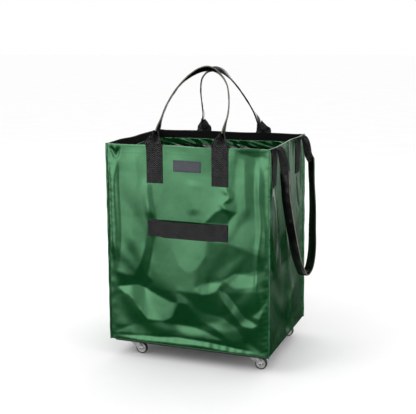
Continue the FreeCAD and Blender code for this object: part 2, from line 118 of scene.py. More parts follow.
class Nodes:
    """Adds nodes to one node tree and links them."""

    def __init__(self, tree):
        self.tree = tree

    def node(self, kind, **values):
        """A new node; each value goes to the input of that name, or else to the node's own setting."""
        made = self.tree.nodes.new("ShaderNode" + kind)
        for key, value in values.items():
            if key.replace("_", " ") in made.inputs:
                self.feed(made.inputs[key.replace("_", " ")], value)
            else:
                setattr(made, key, value)
        return made

    def feed(self, socket, value):
        """Link the value if it is another node's output, or else set it."""
        if isinstance(value, bpy.types.NodeSocket):
            self.tree.links.new(value, socket)
        else:
            socket.default_value = value

    def fed(self, kind, *values, **settings):
        """The first output of a new node whose inputs are fed in their order."""
        made = self.node(kind, **settings)
        for socket, value in zip(made.inputs, values):
            self.feed(socket, value)
        return made.outputs[0]

    def math(self, operation, *values):
        return self.fed("Math", *values, operation=operation)

    def ramp(self, value, stops):
        """A colour ramp through (position, colour) stops."""
        made = self.node("ValToRGB", Fac=value)
        elements = made.color_ramp.elements
        while len(elements) < len(stops):
            elements.new(0.5)
        for element, (position, colour) in zip(elements, stops):
            element.position = position
            element.color = (*colour, 1.0)
        return made.outputs["Color"]


class Shader(Nodes):
    """One material's nodes."""

    def __init__(self, name):
        self.material = bpy.data.materials.new(name)
        self.material.use_nodes = True
        super().__init__(self.material.node_tree)
        self.coords = self.node("TexCoord").outputs

    def set(self, **values):
        surface = self.tree.nodes["Principled BSDF"]
        for key, value in values.items():
            self.feed(surface.inputs[key.replace("_", " ")], value)

    def finish(self, tone, stops, wear, low, high, normal, **others):
        """The whole material: colour by a tone, roughness from low to high by wear, and relief."""
        self.set(Base_Color=self.ramp(tone, stops), Roughness=self.grey(wear, low, high), Normal=normal)
        self.set(**others)
        return self.material

    def place(self, stretch=(1, 1, 1)):
        return self.node("Mapping", Vector=self.coords["Object"], Scale=stretch).outputs[0]

    def noise(self, scale, detail, roughness, stretch=(1, 1, 1)):
        return self.node(
            "TexNoise", Vector=self.place(stretch), Scale=scale, Detail=detail, Roughness=roughness
        ).outputs["Fac"]

    def cells(self, scale, feature="F1"):
        return self.node("TexVoronoi", Vector=self.place(), Scale=scale, feature=feature).outputs["Distance"]

    def sum(self, first, first_share, second, second_share):
        return self.math("MULTIPLY_ADD", first, first_share, self.math("MULTIPLY", second, second_share))

    def grey(self, value, low, high):
        """Stretch a 0 to 1 value to low to high."""
        return self.node("MapRange", Value=value, To_Min=low, To_Max=high).outputs[0]

    def bump(self, height, distance, strength=1.0, under=None):
        """Relief from a 0 to 1 value, in metres, on top of the relief under it."""
        made = self.node("Bump", Height=height, Distance=distance, Strength=strength)
        if under is not None:
            self.feed(made.inputs["Normal"], under)
        return made.outputs[0]

    def split(self, vector):
        return self.node("SeparateXYZ", Vector=vector).outputs

    def sine(self, value, period, phase=0.0):
        """A wave from 0 to 1 with the given period in metres."""
        turns = self.math("MULTIPLY_ADD", value, 2 * math.pi / period, phase)
        return self.math("MULTIPLY_ADD", self.math("SINE", turns), 0.5, 0.5)


# How much webbing and tape reflect, where 0.5 is a plain plastic.
MATT_GLOSS = 0.12


def laminate(name, dark, light, crinkle, gloss_tint, roughness):
    """Film-coated woven tape fabric: flat tapes over and under, a glossy skin, soft creases."""
    s = Shader(name)
    x, y, z = s.split(s.place())
    tape = 2.6 * MM
    weave = s.sum(s.sine(z, tape), 0.75, s.sine(s.math("ADD", x, y), tape, 0.7), 0.25)
    tone = s.sum(weave, 0.22, s.noise(9.0, 4.0, 0.6), 0.78)
    scuffs = s.noise(26.0, 5.0, 0.65, (1, 1, 3))
    relief = s.bump(s.noise(20.0, 2.0, 0.5, (1, 1, 0.6)), 0.7 * MM * crinkle)
    relief = s.bump(s.noise(85.0, 2.0, 0.5, (1, 1, 1.5)), 0.035 * MM * crinkle, 1.0, relief)
    return s.finish(
        tone, [(0.25, dark), (0.75, light)], scuffs, roughness - 0.04, roughness + 0.08,
        s.bump(weave, 0.012 * MM, 1.0, relief),
        IOR=1.7, Specular_Tint=(*gloss_tint, 1.0), Specular_IOR_Level=1.0,
    )


def webbing(name, dark, light):
    """Herringbone webbing: slanted ribs that change direction in columns, UVs in metres (across, along). The
    tone is a random fuzz plus rib crests painted lighter in patches: a painted sheen.
    """
    s = Shader(name)
    across, along, _ = s.split(s.coords["UV"])
    column, rib, cord = 8.4 * MM, 6.0 * MM, 1.6 * MM
    slanted = s.math("MULTIPLY_ADD", s.math("PINGPONG", across, column), 0.9, along)
    height = s.sum(s.sine(slanted, rib), 0.8, s.sine(across, cord), 0.2)
    fuzz = s.noise(700.0, 3.0, 0.7)
    sheen_patches = s.math("MULTIPLY_ADD", s.noise(190.0, 2.0, 0.6), 1.3, 0.15)
    # Rib crests are painted lighter where the patches allow: a painted sheen on black webbing.
    tone = s.sum(fuzz, 0.2, s.math("MULTIPLY", height, sheen_patches), 0.9)
    relief = s.bump(height, 0.6 * MM, 1.0, s.bump(fuzz, 0.15 * MM))
    return s.finish(
        tone, [(0.45, dark), (0.9, light)], fuzz, 0.62, 0.9, relief, Specular_IOR_Level=MATT_GLOSS
    )


def vinyl(name, dark, light, roughness):
    """Leathery vinyl with pebble grain and soft dents."""
    s = Shader(name)
    dents = s.bump(s.noise(38.0, 3.0, 0.55), 2.0 * MM, 0.6)
    wear = s.noise(120.0, 4.0, 0.7)
    return s.finish(
        wear, [(0.3, dark), (0.8, light)], wear, roughness - 0.07, roughness + 0.12,
        s.bump(s.cells(850.0, "SMOOTH_F1"), 0.12 * MM, 0.5, dents), Specular_IOR_Level=0.3,
    )


def ribbed_tape(name, dark, light):
    s = Shader(name)
    rib = 1.5 * MM
    ribs = s.sine(s.split(s.coords["UV"])["Y"], rib)
    fuzz = s.noise(700.0, 2.0, 0.6)
    tone = s.sum(ribs, 0.5, fuzz, 0.5)
    return s.finish(
        tone, [(0.1, dark), (0.9, light)], fuzz, 0.55, 0.8, s.bump(ribs, 0.2 * MM),
        Specular_IOR_Level=MATT_GLOSS,
    )


def label_cloth(name, dark, light):
    """Flat woven label, with no lettering."""
    s = Shader(name)
    across, along, _ = s.split(s.coords["UV"])
    weft, warp = 0.55 * MM, 0.7 * MM
    weave = s.math("MULTIPLY", s.sine(along, weft), s.sine(across, warp))
    tone = s.sum(weave, 0.5, s.noise(60.0, 3.0, 0.6), 0.5)
    return s.finish(tone, [(0.1, dark), (0.8, light)], weave, 0.5, 0.7, s.bump(weave, 0.12 * MM))


def thread(name, colour):
    s = Shader(name)
    twist = s.noise(2500.0, 2.0, 0.5)
    lighter = [min(1.0, c * 1.7 + 0.01) for c in colour]
    return s.finish(twist, [(0.3, colour), (0.8, lighter)], twist, 0.45, 0.7, s.bump(twist, 0.1 * MM))


def metal(name, dark, light, roughness, brushed):
    """Plated or bare steel with rolling marks, spangle and grime."""
    s = Shader(name)
    grime = s.noise(70.0, 5.0, 0.7)
    tone = s.sum(s.cells(260.0), 0.35, grime, 0.75)
    marks = s.bump(s.noise(300.0, 4.0, 0.65, (brushed, 1, brushed)), 0.06 * MM, 0.7)
    return s.finish(
        tone, [(0.25, dark), (0.7, light)], grime, roughness - 0.1, roughness + 0.18, marks, Metallic=1.0
    )


def moulded(name, dark, light, roughness):
    """Moulded plastic or rubber with a faint grain, scuffed where it catches."""
    s = Shader(name)
    scuffs = s.noise(90.0, 5.0, 0.75)
    grain = s.bump(s.noise(600.0, 3.0, 0.6), 0.08 * MM, 0.7, s.bump(scuffs, 0.25 * MM, 0.4))
    return s.finish(
        scuffs, [(0.35, dark), (0.8, light)], scuffs, roughness - 0.12, roughness + 0.12, grain
    )


GREEN_TINT, EDGE_TINT, NO_TINT = (0.42, 1.0, 0.55), (0.5, 1.0, 0.62), (1.0, 1.0, 1.0)
GREEN = laminate("green_laminate", (0.0005, 0.026, 0.005), (0.002, 0.046, 0.010), 1.0, GREEN_TINT, 0.15)
# A lighter copy of the wall laminate for the right-hand corner fins: a painted highlight.
GREEN_SEAM_HIGHLIGHT = laminate("green_seam_painted_highlight", (0.003, 0.06, 0.018), (0.01, 0.11, 0.04), 0.6, EDGE_TINT, 0.26)
LINING = laminate("black_lining", (0.002, 0.002, 0.002), (0.006, 0.006, 0.007), 6.0, NO_TINT, 0.2)
# The webbing's light colour is the painted sheen on its rib crests.
WEBBING = webbing("black_webbing", (0.0003, 0.0003, 0.0003), (0.10, 0.10, 0.105))
VINYL = vinyl("grip_vinyl", (0.0005, 0.0005, 0.0008), (0.003, 0.003, 0.004), 0.2)
# Pale olive-grey for the sleeves' open edge faces: a painted highlight on the black vinyl.
GRIP_EDGE_HIGHLIGHT = vinyl("grip_edge_painted_highlight", (0.09, 0.085, 0.065), (0.20, 0.19, 0.15), 0.5)
TAPE = ribbed_tape("binding_tape", (0.0005, 0.0005, 0.0005), (0.006, 0.006, 0.006))
LABEL = label_cloth("label_cloth", (0.035, 0.038, 0.05), (0.075, 0.08, 0.10))
GREEN_THREAD = thread("green_thread", (0.01, 0.10, 0.04))
BLACK_THREAD = thread("black_thread", (0.01, 0.01, 0.012))
ZINC = metal("zinc_steel", (0.30, 0.30, 0.29), (0.78, 0.78, 0.76), 0.34, 6.0)
BRIGHT = metal("bright_steel", (0.42, 0.45, 0.52), (0.80, 0.83, 0.90), 0.2, 1.0)
WHEEL_GREY = metal("wheel_disc", (0.42, 0.42, 0.40), (0.80, 0.80, 0.77), 0.38, 1.0)
TYRE = moulded("tyre_rubber", (0.008, 0.008, 0.008), (0.03, 0.03, 0.03), 0.6)
BOARD = moulded("board_plastic", (0.004, 0.004, 0.005), (0.016, 0.016, 0.016), 0.45)


# ---- Mesh helpers ----

def make_piece(name, verts, faces, materials, indices=None, uvs=None):
    """A smooth mesh object; indices are the faces' materials and uvs one pair per vertex."""
    mesh = bpy.data.meshes.new(name)
    mesh.from_pydata([tuple(v) for v in verts], [], faces)
    for material in materials:
        mesh.materials.append(material)
    if indices is not None:
        mesh.polygons.foreach_set("material_index", indices)
    mesh.polygons.foreach_set("use_smooth", [True] * len(mesh.polygons))
    if uvs is not None:
        layer = mesh.uv_layers.new(name="UVMap")
        corners = np.zeros(len(mesh.loops), np.int32)
        mesh.loops.foreach_get("vertex_index", corners)
        layer.data.foreach_set("uv", np.asarray(uvs, np.float32)[corners].ravel())
    mesh.update()
    piece = bpy.data.objects.new(name, mesh)
    bpy.context.scene.collection.objects.link(piece)
    return piece


def grid_normals(points):
    """Unit normals of a rows by columns grid of points."""
    normals = np.cross(np.gradient(points, axis=1), np.gradient(points, axis=0))
    return normals / np.linalg.norm(normals, axis=2, keepdims=True)


def sheet_from_grid(points, thickness, ring=False):
    """Vertices and faces of a closed sheet: the grid as its outer face, and an inner face behind it.
    The third value is 1 for each face that belongs to the inner side."""
    rows, columns, _ = points.shape
    inner = points - grid_normals(points) * thickness
    verts = np.concatenate([points.reshape(-1, 3), inner.reshape(-1, 3)])
    back = rows * columns
    last = back - columns
    steps = [(c, (c + 1) % columns) for c in range(columns if ring else columns - 1)]
    faces, inward = [], []
    for row in range(0, last, columns):
        for c, n in steps:
            a, b, d, e = row + c, row + n, row + columns + c, row + columns + n
            faces += [(a, b, e, d), (back + a, back + d, back + e, back + b)]
            inward += [0, 1]
    for c, n in steps:
        faces.append((c, back + c, back + n, n))
        faces.append((last + c, last + n, back + last + n, back + last + c))
    if not ring:
        for a in range(0, last, columns):
            b, d, e = a + columns - 1, a + columns, a + 2 * columns - 1
            faces += [(a, d, back + d, back + a), (b, back + b, back + e, e)]
    inward += [0] * (len(faces) - len(inward))
    return verts, faces, inward


def sheet_piece(name, points, thickness, materials, uvs=None, sides=(0, 0), ring=False):
    """A closed sheet as one object; `sides` are the outer and the inner face's material numbers."""
    verts, faces, inward = sheet_from_grid(points, thickness, ring)
    both = None if uvs is None else np.concatenate([uvs, uvs])
    return make_piece(name, verts, faces, materials, [sides[k] for k in inward], both)


def bag_piece(piece, *nodes):
    """Let a piece ride on the bag in place of its CAD nodes."""
    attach(piece, "bag")
    if nodes:
        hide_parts(*nodes)
    return piece


def run_lengths(points):
    """Each point's distance along a line of points."""
    return np.concatenate([[0], np.cumsum(np.linalg.norm(np.diff(points, axis=0), axis=1))])


def read_along(values, lengths, where):
    """Values of a line's points, read at distances along it."""
    return np.stack([np.interp(where, lengths, values[:, k]) for k in range(3)], -1)


def unit(v):
    return v / np.linalg.norm(v)


# ---- Shape of the fabric walls ----

def smooth_step(t):
    t = np.clip(t, 0.0, 1.0)
    return t * t * (3 - 2 * t)


def curve_through(points, count=9):
    """Points on a smooth curve through the given points (Catmull-Rom)."""
    p = [np.array(q, float) for q in points]
    p = [2 * p[0] - p[1]] + p + [2 * p[-1] - p[-2]]
    curve = []
    for i in range(1, len(p) - 2):
        for k in range(count):
            t = k / count
            curve.append(0.5 * (
                2 * p[i] + (p[i + 1] - p[i - 1]) * t
                + (2 * p[i - 1] - 5 * p[i] + 4 * p[i + 1] - p[i + 2]) * t ** 2
                + (3 * p[i] - p[i - 1] - 3 * p[i + 1] + p[i + 2]) * t ** 3
            ))
    curve.append(p[-2])
    return np.array(curve)


CREST_ROUND = 2.0 * MM
FOOT_ROUND = 0.12
FAR = 1e9


def fold(x, z, points, height, left, right, taper=0.2):
    """A crease along a curve, its sides nearly flat facets. All in mm: its crest is `height` proud; it
    falls away over `left` on the left of the direction of travel and `right` on the right, and fades at
    both ends."""
    curve = curve_through(points) * MM
    best = np.full(x.shape, FAR)
    side = np.zeros(x.shape)
    place = np.zeros(x.shape)
    steps = len(curve) - 1
    for i in range(steps):
        a = curve[i]
        run = curve[i + 1] - a
        t = np.clip(((x - a[0]) * run[0] + (z - a[1]) * run[1]) / float(run @ run), 0, 1)
        dx = x - (a[0] + t * run[0])
        dz = z - (a[1] + t * run[1])
        distance = np.hypot(dx, dz)
        nearer = distance < best
        best = np.where(nearer, distance, best)
        side = np.where(nearer, run[0] * dz - run[1] * dx, side)
        place = np.where(nearer, (i + t) / steps, place)
    width = np.where(side > 0, left, right) * MM
    fade = smooth_step(place / taper) * smooth_step((1 - place) / taper)
    rounded = np.sqrt(best ** 2 + CREST_ROUND ** 2) - CREST_ROUND
    rest = 1 - rounded / width
    facet = (rest + np.sqrt(rest ** 2 + FOOT_ROUND ** 2)) / 2
    foot = np.clip(3 - best / width, 0, 1)
    return height * MM * fade * facet * foot


# Creases of the front wall, in mm across from the middle and up from the floor:
# (points along the crest, height, fall on the left, fall on the right).
FRONT_FOLDS = [
    # zigzags under the right anchor and a crease under the left one
    ([(112, 548), (134, 516), (114, 494), (142, 470)], 1.5, 10, 12),
    ([(-122, 556), (-124, 500), (-114, 430)], 1.5, 17, 12),
    # upright rolls near both side seams
    ([(-219, 632), (-225, 520), (-222, 400), (-228, 262)], 2.4, 10, 10),
    ([(-241, 622), (-242, 500), (-241, 400), (-242, 300)], 6.0, 18, 9),
    ([(222, 640), (219, 520), (225, 420), (214, 300), (222, 120)], 2.4, 15, 9),
    ([(-166, 650), (-158, 560), (-172, 420), (-178, 320)], 1.6, 34, 28),
    ([(182, 640), (176, 560), (190, 440)], 1.4, 26, 22),
    ([(24, 560), (18, 510), (26, 452)], 1.0, 30, 24),
    # the pinch at the top left corner
    ([(-244, 652), (-230, 630), (-220, 616), (-208, 654)], -2.6, 7, 7),
]
# Facets of the front wall's slack cloth: (how far it leans out going down, outline in mm). Later ones win.
FRONT_FACETS = [
    (0.000, [(-236, 640), (236, 640), (232, 560), (-232, 560)]),
    (0.018, [(-232, 570), (232, 570), (226, 430), (-226, 430)]),
    (0.030, [(-224, 440), (-118, 440), (-128, 380), (-150, 300), (-176, 262), (-222, 272)]),
    (0.045, [(-110, 386), (20, 386), (62, 240), (20, 214), (-60, 220), (-128, 232)]),
    (0.080, [(-46, 386), (66, 386), (58, 336), (34, 300), (5, 282), (-24, 304), (-42, 345)]),
    (0.025, [(130, 430), (232, 430), (226, 372), (150, 376)]),
    (-0.050, [(64, 384), (130, 380), (236, 350), (236, 316), (160, 292), (108, 270), (64, 262)]),
    (0.070, [(112, 270), (150, 296), (204, 292), (240, 312), (240, 296), (206, 262), (150, 250)]),
    (-0.110, [(-122, 456), (-101, 386), (-108, 340), (-130, 248), (-158, 228), (-172, 250), (-148, 300),
        (-130, 350)]),
    (-0.120, [(-230, 268), (-176, 256), (-140, 274), (-112, 246), (-136, 224), (-180, 232), (-226, 222)]),
    (-0.045, [(-30, 226), (60, 226), (238, 250), (240, 64), (60, 80), (-60, 126)]),
    (0.115, [(24, 240), (48, 254), (108, 264), (96, 240), (70, 226), (44, 222)]),
    (0.110, [(100, 240), (126, 230), (154, 196), (180, 166), (218, 148), (202, 138), (170, 142),
        (144, 174), (118, 204)]),
    (0.080, [(202, 172), (224, 196), (242, 224), (242, 204), (222, 166)]),
    (0.180, [(-222, 220), (-160, 231), (-95, 207), (-50, 190), (-22, 194), (-48, 140), (-75, 128),
        (-130, 127), (-146, 150)]),
    (0.050, [(-236, 196), (-192, 202), (-166, 182), (-152, 150), (-138, 124), (-180, 106), (-236, 100)]),
    (0.045, [(-100, 207), (-50, 216), (-20, 222), (12, 200), (36, 176), (52, 168), (110, 160), (152, 135),
        (182, 100),
             (228, 66), (200, 66), (150, 82), (110, 108), (80, 128), (40, 138), (20, 163), (0, 188),
                 (-50, 191)]),
    (-0.100, [(-30, 190), (0, 188), (20, 163), (40, 138), (36, 128), (-50, 130), (-46, 142)]),
    (0.095, [(-240, 76), (-170, 110), (-80, 125), (20, 119), (60, 110), (120, 88), (60, 86), (-60, 86),
        (-160, 78)]),
    (0.220, [(-242, 66), (-150, 73), (-40, 81), (60, 80), (150, 71), (232, 62), (150, 60), (20, 66),
        (-150, 61)]),
    (-0.130, [(58, 436), (92, 470), (112, 480), (154, 472), (136, 452), (128, 436)]),
    (-0.110, [(-124, 436), (-119, 476), (-100, 446), (-94, 436)]),
    (-0.130, [(148, 650), (242, 652), (242, 632), (200, 628), (165, 637)]),
]
FACET_EDGE = 4 * MM
# How much the cloth resists a change of height sideways, against up and down, and any height at all.
SIDEWAYS_SHARE = 0.09
STEADY = 15.0
BELLY_Z = 0.235
BELLY = 4.0 * MM


def inside_outline(x, z, outline):
    """1 inside an outline given in mm, 0 outside, with a narrow soft edge."""
    corners = np.array(outline, float) * MM
    nearest = np.full(x.shape, FAR)
    inside = np.zeros(x.shape, bool)
    for (ax, az), (bx, bz) in zip(corners, np.roll(corners, -1, axis=0)):
        run_x, run_z = bx - ax, bz - az
        t = np.clip(((x - ax) * run_x + (z - az) * run_z) / (run_x ** 2 + run_z ** 2), 0, 1)
        nearest = np.minimum(nearest, np.hypot(x - ax - t * run_x, z - az - t * run_z))
        if run_z:
            crossed = (az > z) != (bz > z)
            inside ^= crossed & (x < ax + (z - az) * run_x / run_z)
    return smooth_step(0.5 + np.where(inside, nearest, -nearest) / FACET_EDGE)


def sine_basis(count):
    """Sine waves that are nought at both ends of a row of points, and each one's bending."""
    k = np.arange(1, count + 1)
    waves = np.sin(np.pi * np.outer(k, k) / (count + 1)) * math.sqrt(2 / (count + 1))
    return waves, 2 - 2 * np.cos(np.pi * k / (count + 1))


def cloth_from_facets(x, z, facets):
    """The smoothest cloth, held round its edge, whose surface leans as the facets ask."""
    lean = np.zeros(x.shape)
    for tilt, outline in facets:
        share = inside_outline(x, z, outline)
        lean = lean * (1 - share) + tilt * share
    step = float(z[1, 0] - z[0, 0])
    source = np.gradient(lean, step, axis=0)[1:-1, 1:-1]
    up_waves, up_bend = sine_basis(source.shape[0])
    side_waves, side_bend = sine_basis(source.shape[1])
    stiffness = (up_bend[:, None] + SIDEWAYS_SHARE * side_bend[None, :]) / step ** 2 + STEADY
    height = np.zeros(x.shape)
    height[1:-1, 1:-1] = up_waves @ ((up_waves @ source @ side_waves) / stiffness) @ side_waves
    return height


def bulge(across, up, half):
    """The wall's slack: it leans out from the rim to a low belly and back in to the base."""
    above = smooth_step((RIM_Z - up) / (RIM_Z - BELLY_Z))
    below = smooth_step((up - BASE_Z) / (BELLY_Z - BASE_Z))
    return BELLY * np.minimum(above, below) * (1 - np.abs(across / half) ** 6)


# Gathers stand highest at these distances from a side seam and from the base, and this proud.
SEAM_GATHER, SEAM_GATHER_HEIGHT = 7 * MM, 0.10 * MM
BASE_GATHER, BASE_GATHER_HEIGHT = 9 * MM, 0.12 * MM


def gather_window(distance, peak):
    return (distance / peak) * np.exp(1 - distance / peak)


def puckers(across, up, half, seed):
    """Small gathers where the cloth meets the side seams and the base."""
    rng = random.Random(seed)
    beside = half - np.abs(across)
    left = across < 0
    total = np.zeros(across.shape)
    for _ in range(7):
        length = rng.uniform(14, 46) * MM
        lean = rng.uniform(-0.7, 0.7)
        phase = rng.uniform(0, 6.28) + 2.1 * left
        patch = 0.5 + 0.5 * np.sin(up / rng.uniform(0.04, 0.11) + phase)
        total += patch * np.sin(2 * math.pi * (up + lean * beside) / length + phase)
    total = total * gather_window(beside, SEAM_GATHER) * SEAM_GATHER_HEIGHT
    along = np.zeros(across.shape)
    for _ in range(5):
        length = rng.uniform(22, 60) * MM
        along += np.sin(2 * math.pi * across / length + rng.uniform(0, 6.28))
    return total + along * gather_window(up - BASE_Z, BASE_GATHER) * BASE_GATHER_HEIGHT


def wander(x, z, seed, size, height):
    """Gentle random undulation of about `size` mm across, from a few fixed waves."""
    rng = random.Random(seed)
    total = np.zeros(x.shape)
    for _ in range(9):
        angle = rng.uniform(0, 2 * math.pi)
        length = size * rng.uniform(0.7, 1.9) * MM
        phase = rng.uniform(0, 2 * math.pi)
        run = x * math.cos(angle) + z * math.sin(angle) * 0.7
        total += np.sin(2 * math.pi * run / length + phase) * rng.uniform(0.4, 1.0)
    return total * height * MM / 3.0


def random_folds(x, z, seed, half, count):
    """Hanging creases for a wall: near-upright runs that start at any height."""
    rng = random.Random(seed)
    total = np.zeros(x.shape)
    for _ in range(count):
        x0 = rng.uniform(-0.85, 0.85) * half / MM
        z0 = rng.uniform(140, 620)
        length = rng.uniform(70, 230)
        lean = rng.uniform(-45, 45)
        middle = (x0 + lean / 2 + rng.uniform(-14, 14), z0 - length / 2)
        points = [(x0, z0), middle, (x0 + lean, z0 - length)]
        height = rng.choice((-1, 1)) * rng.uniform(1.0, 3.2)
        total += fold(x, z, points, height, rng.uniform(6, 26), rng.uniform(6, 22), 0.35)
    return total


# How far from a seam, the base and the rim a crease reaches its full height.
HOLD_SIDE, HOLD_FOOT, HOLD_RIM = 20 * MM, 12 * MM, 20 * MM


def edge_hold(across, up, half):
    """0 at a wall's sewn sides and base, 0.2 at its rim, and 1 away from them."""
    side = smooth_step((half - np.abs(across)) / HOLD_SIDE)
    foot = smooth_step((up - BASE_Z) / HOLD_FOOT)
    rim = smooth_step((RIM_Z - up) / HOLD_RIM)
    return side * foot * (0.2 + 0.8 * rim)


# Creases of the right wall, by distance towards the back: the gusset's centre crease and short ones.
SIDE_FOLDS = [
    ([(-6, 652), (2, 600), (22, 520), (46, 440)], -4.0, 9, 6),
    ([(-44, 640), (-34, 600), (-40, 560)], -2.4, 8, 8),
    ([(112, 545), (124, 480), (140, 420)], -2.0, 7, 8),
    ([(156, 640), (162, 560), (158, 470)], -1.6, 6, 7),
    ([(10, 66), (22, 120), (62, 194)], -4.5, 14, 8),
]
SIDE_FACETS = [
    (0.080, [(-188, 250), (188, 330), (188, 60), (-188, 60)]),
    (0.030, [(56, 610), (92, 545), (188, 530), (188, 320), (124, 300), (74, 400), (46, 500)]),
    (-0.200, [(-188, 545), (-160, 545), (-168, 420), (-140, 330), (-112, 322), (-126, 292), (-160, 312),
        (-184, 400)]),
    (0.050, [(-156, 540), (-118, 520), (-104, 400), (-122, 330), (-142, 350), (-162, 430)]),
    (-0.150, [(-98, 362), (-76, 384), (-36, 396), (-10, 372), (24, 294), (-44, 290), (-56, 330),
        (-60, 366)]),
    (0.060, [(-66, 360), (-52, 330), (-46, 296), (-92, 300), (-96, 352)]),
    (-0.180, [(-4, 70), (8, 120), (20, 166), (48, 192), (72, 190), (54, 140), (34, 66)]),
    (0.090, [(-124, 84), (-64, 124), (-12, 142), (2, 110), (-10, 80)]),
    (0.090, [(62, 84), (104, 128), (162, 164), (186, 150), (184, 82)]),
    (0.110, [(-186, 68), (0, 74), (184, 70), (184, 52), (-186, 52)]),
]


def folds(x, z, table):
    total = np.zeros(x.shape)
    for points, height, left, right in table:
        total += fold(x, z, points, height, left, right)
    return total


def front_relief(x, z, half):
    total = folds(x, z, FRONT_FOLDS) + (bulge(x, z, half) + wander(x, z, 3, 120, 0.25))
    total = total * edge_hold(x, z, half) + cloth_from_facets(x, z, FRONT_FACETS)
    return total + puckers(x, z, half, 41)


def back_relief(x, z, half):
    total = random_folds(x, z, 21, half, 16) + bulge(x, z, half) + wander(x, z, 5, 130, 0.6)
    return total * edge_hold(x, z, half) + puckers(x, z, half, 43)


def right_relief(y, z, half):
    total = folds(y, z, SIDE_FOLDS) + (0.5 * bulge(y, z, half) + wander(y, z, 11, 110, 0.4))
    total = total * edge_hold(y, z, half) + cloth_from_facets(y, z, SIDE_FACETS)
    return total + puckers(y, z, half, 47)


def left_relief(y, z, half):
    total = random_folds(y, z, 33, half, 13) + fold(y, z, SIDE_FOLDS[0][0], -4.0, 9, 9)
    total += 0.5 * bulge(y, z, half) + wander(y, z, 17, 120, 0.6)
    return total * edge_hold(y, z, half) + puckers(y, z, half, 53)


RELIEF = {FRONT: front_relief, BACK: back_relief, RIGHT: right_relief, LEFT: left_relief}
TABLE_STEP = 2.5 * MM
relief_tables = {}
settled = {}


def relief_table(wall):
    """The wall's relief on an even grid, worked out once."""
    if wall not in relief_tables:
        half = wall_half(wall)
        across = np.arange(-half, half + TABLE_STEP, TABLE_STEP)
        up = np.arange(BASE_Z, RIM_Z + TABLE_STEP, TABLE_STEP)
        table = RELIEF[wall](*np.meshgrid(across, up), half)
        if wall in settled:
            columns = spline_weights(across, -half, half, settled[wall].shape[1])
            rows = spline_weights(up, BASE_Z, RIM_Z, settled[wall].shape[0])
            table = table + rows @ settled[wall] @ columns.T
        relief_tables[wall] = (across, up, table)
    return relief_tables[wall]


def spline_weights(places, low, high, count):
    """Smooth (cubic B-spline) weights of `count` even samples from low to high, one row per place."""
    at = np.clip((places - low) / (high - low), 0, 1) * (count - 1)
    first = np.minimum(at.astype(int), count - 2)
    t = at - first
    shares = ((1 - t) ** 3, 3 * t ** 3 - 6 * t ** 2 + 4, -3 * t ** 3 + 3 * t ** 2 + 3 * t + 1, t ** 3)
    weights = np.zeros((len(places), count))
    for offset, share in zip((-1, 0, 1, 2), shares):
        np.add.at(weights, (np.arange(len(places)), np.clip(first + offset, 0, count - 1)), share / 6)
    return weights


def relief_at(wall, across, up):
    """The wall's relief at any places, read from its table."""
    columns, rows, table = relief_table(wall)
    c = np.clip((across - columns[0]) / TABLE_STEP, 0, len(columns) - 1.001)
    r = np.clip((up - rows[0]) / TABLE_STEP, 0, len(rows) - 1.001)
    c0, r0 = c.astype(int), r.astype(int)
    fc, fr = c - c0, r - r0
    low = table[r0, c0] * (1 - fc) + table[r0, c0 + 1] * fc
    high = table[r0 + 1, c0] * (1 - fc) + table[r0 + 1, c0 + 1] * fc
    return low * (1 - fr) + high * fr


# The left wall's rim stands out in one place: how far in mm, where towards the front, and how wide.
RIM_KINK, RIM_KINK_PLACE, RIM_KINK_WIDTH = 7.0, 0.075, 0.045
# The rim's slack dies out this far from the seams, and this share of the wall's height below the rim.
RIM_SEAM_RUN = 30 * MM
RIM_BAND = 0.14


def rim_wave(wall, across):
    """The rim's slack: how far its edge stands out and how far it dips."""
    seed = WALLS.index(wall)
    out = 1.6 * np.sin(across * 21 + seed * 1.7) + 1.0 * np.sin(across * 47 + seed)
    dip = 0.9 * np.sin(across * 26 + seed * 2.3) + 0.5
    if wall == LEFT:
        out = out + RIM_KINK * np.exp(-((across - RIM_KINK_PLACE) / RIM_KINK_WIDTH) ** 2)
    return out * MM, dip * MM


def wall_points(wall, across, up, lift=0.0):
    """The outer face of a wall: across is the distance from the wall's middle along X or Y."""
    share = (up - BASE_Z) / WALL_HEIGHT
    half_x = BASE_HALF_X + (RIM_HALF_X - BASE_HALF_X) * share
    half_y = BASE_HALF_Y + (RIM_HALF_Y - BASE_HALF_Y) * share
    half, face = (half_x, half_y) if wall in (FRONT, BACK) else (half_y, half_x)
    hold = smooth_step((wall_half(wall) - np.abs(across)) / RIM_SEAM_RUN)
    near_rim = smooth_step((share - (1 - RIM_BAND)) / RIM_BAND)
    out, dip = rim_wave(wall, across)
    face = face + relief_at(wall, across, up) + out * hold * near_rim + lift
    height = up - dip * hold * near_rim
    squeezed = across * half / wall_half(wall)
    side, outward = AXES[wall]
    return MIDDLE + side * squeezed[..., None] + outward * face[..., None] + UP * height[..., None]


def wall_grid(wall, x0, x1, z0, z1, step, lift=0.0):
    """Points of a patch of a wall's outer face, and UVs in metres."""
    columns = max(3, int(round((x1 - x0) / step)) + 1)
    rows = max(3, int(round((z1 - z0) / step)) + 1)
    across, up = np.meshgrid(np.linspace(x0, x1, columns), np.linspace(z0, z1, rows))
    uvs = np.stack([across - x0, up - z0], -1).reshape(-1, 2)
    return wall_points(wall, across, up, lift), uvs


SETTLE_STEP = 9 * MM
SETTLE_FRAMES = 18
SETTLE_LIMIT = 3.5 * MM
# How far in from a sewn edge the cloth is still held, and the share of the movement that is kept.
HELD_BAND = 2.5 * SETTLE_STEP
SETTLE_SHARE = {FRONT: 0.3, BACK: 1.0, RIGHT: 0.4, LEFT: 1.0}
# The cloth solver's settings; a negative shrink is slack.
CLOTH = {
    "quality": 7, "mass": 0.03, "tension_stiffness": 25, "compression_stiffness": 25,
    "shear_stiffness": 12, "bending_stiffness": 0.6, "air_damping": 2.0, "shrink_min": -0.006,
}


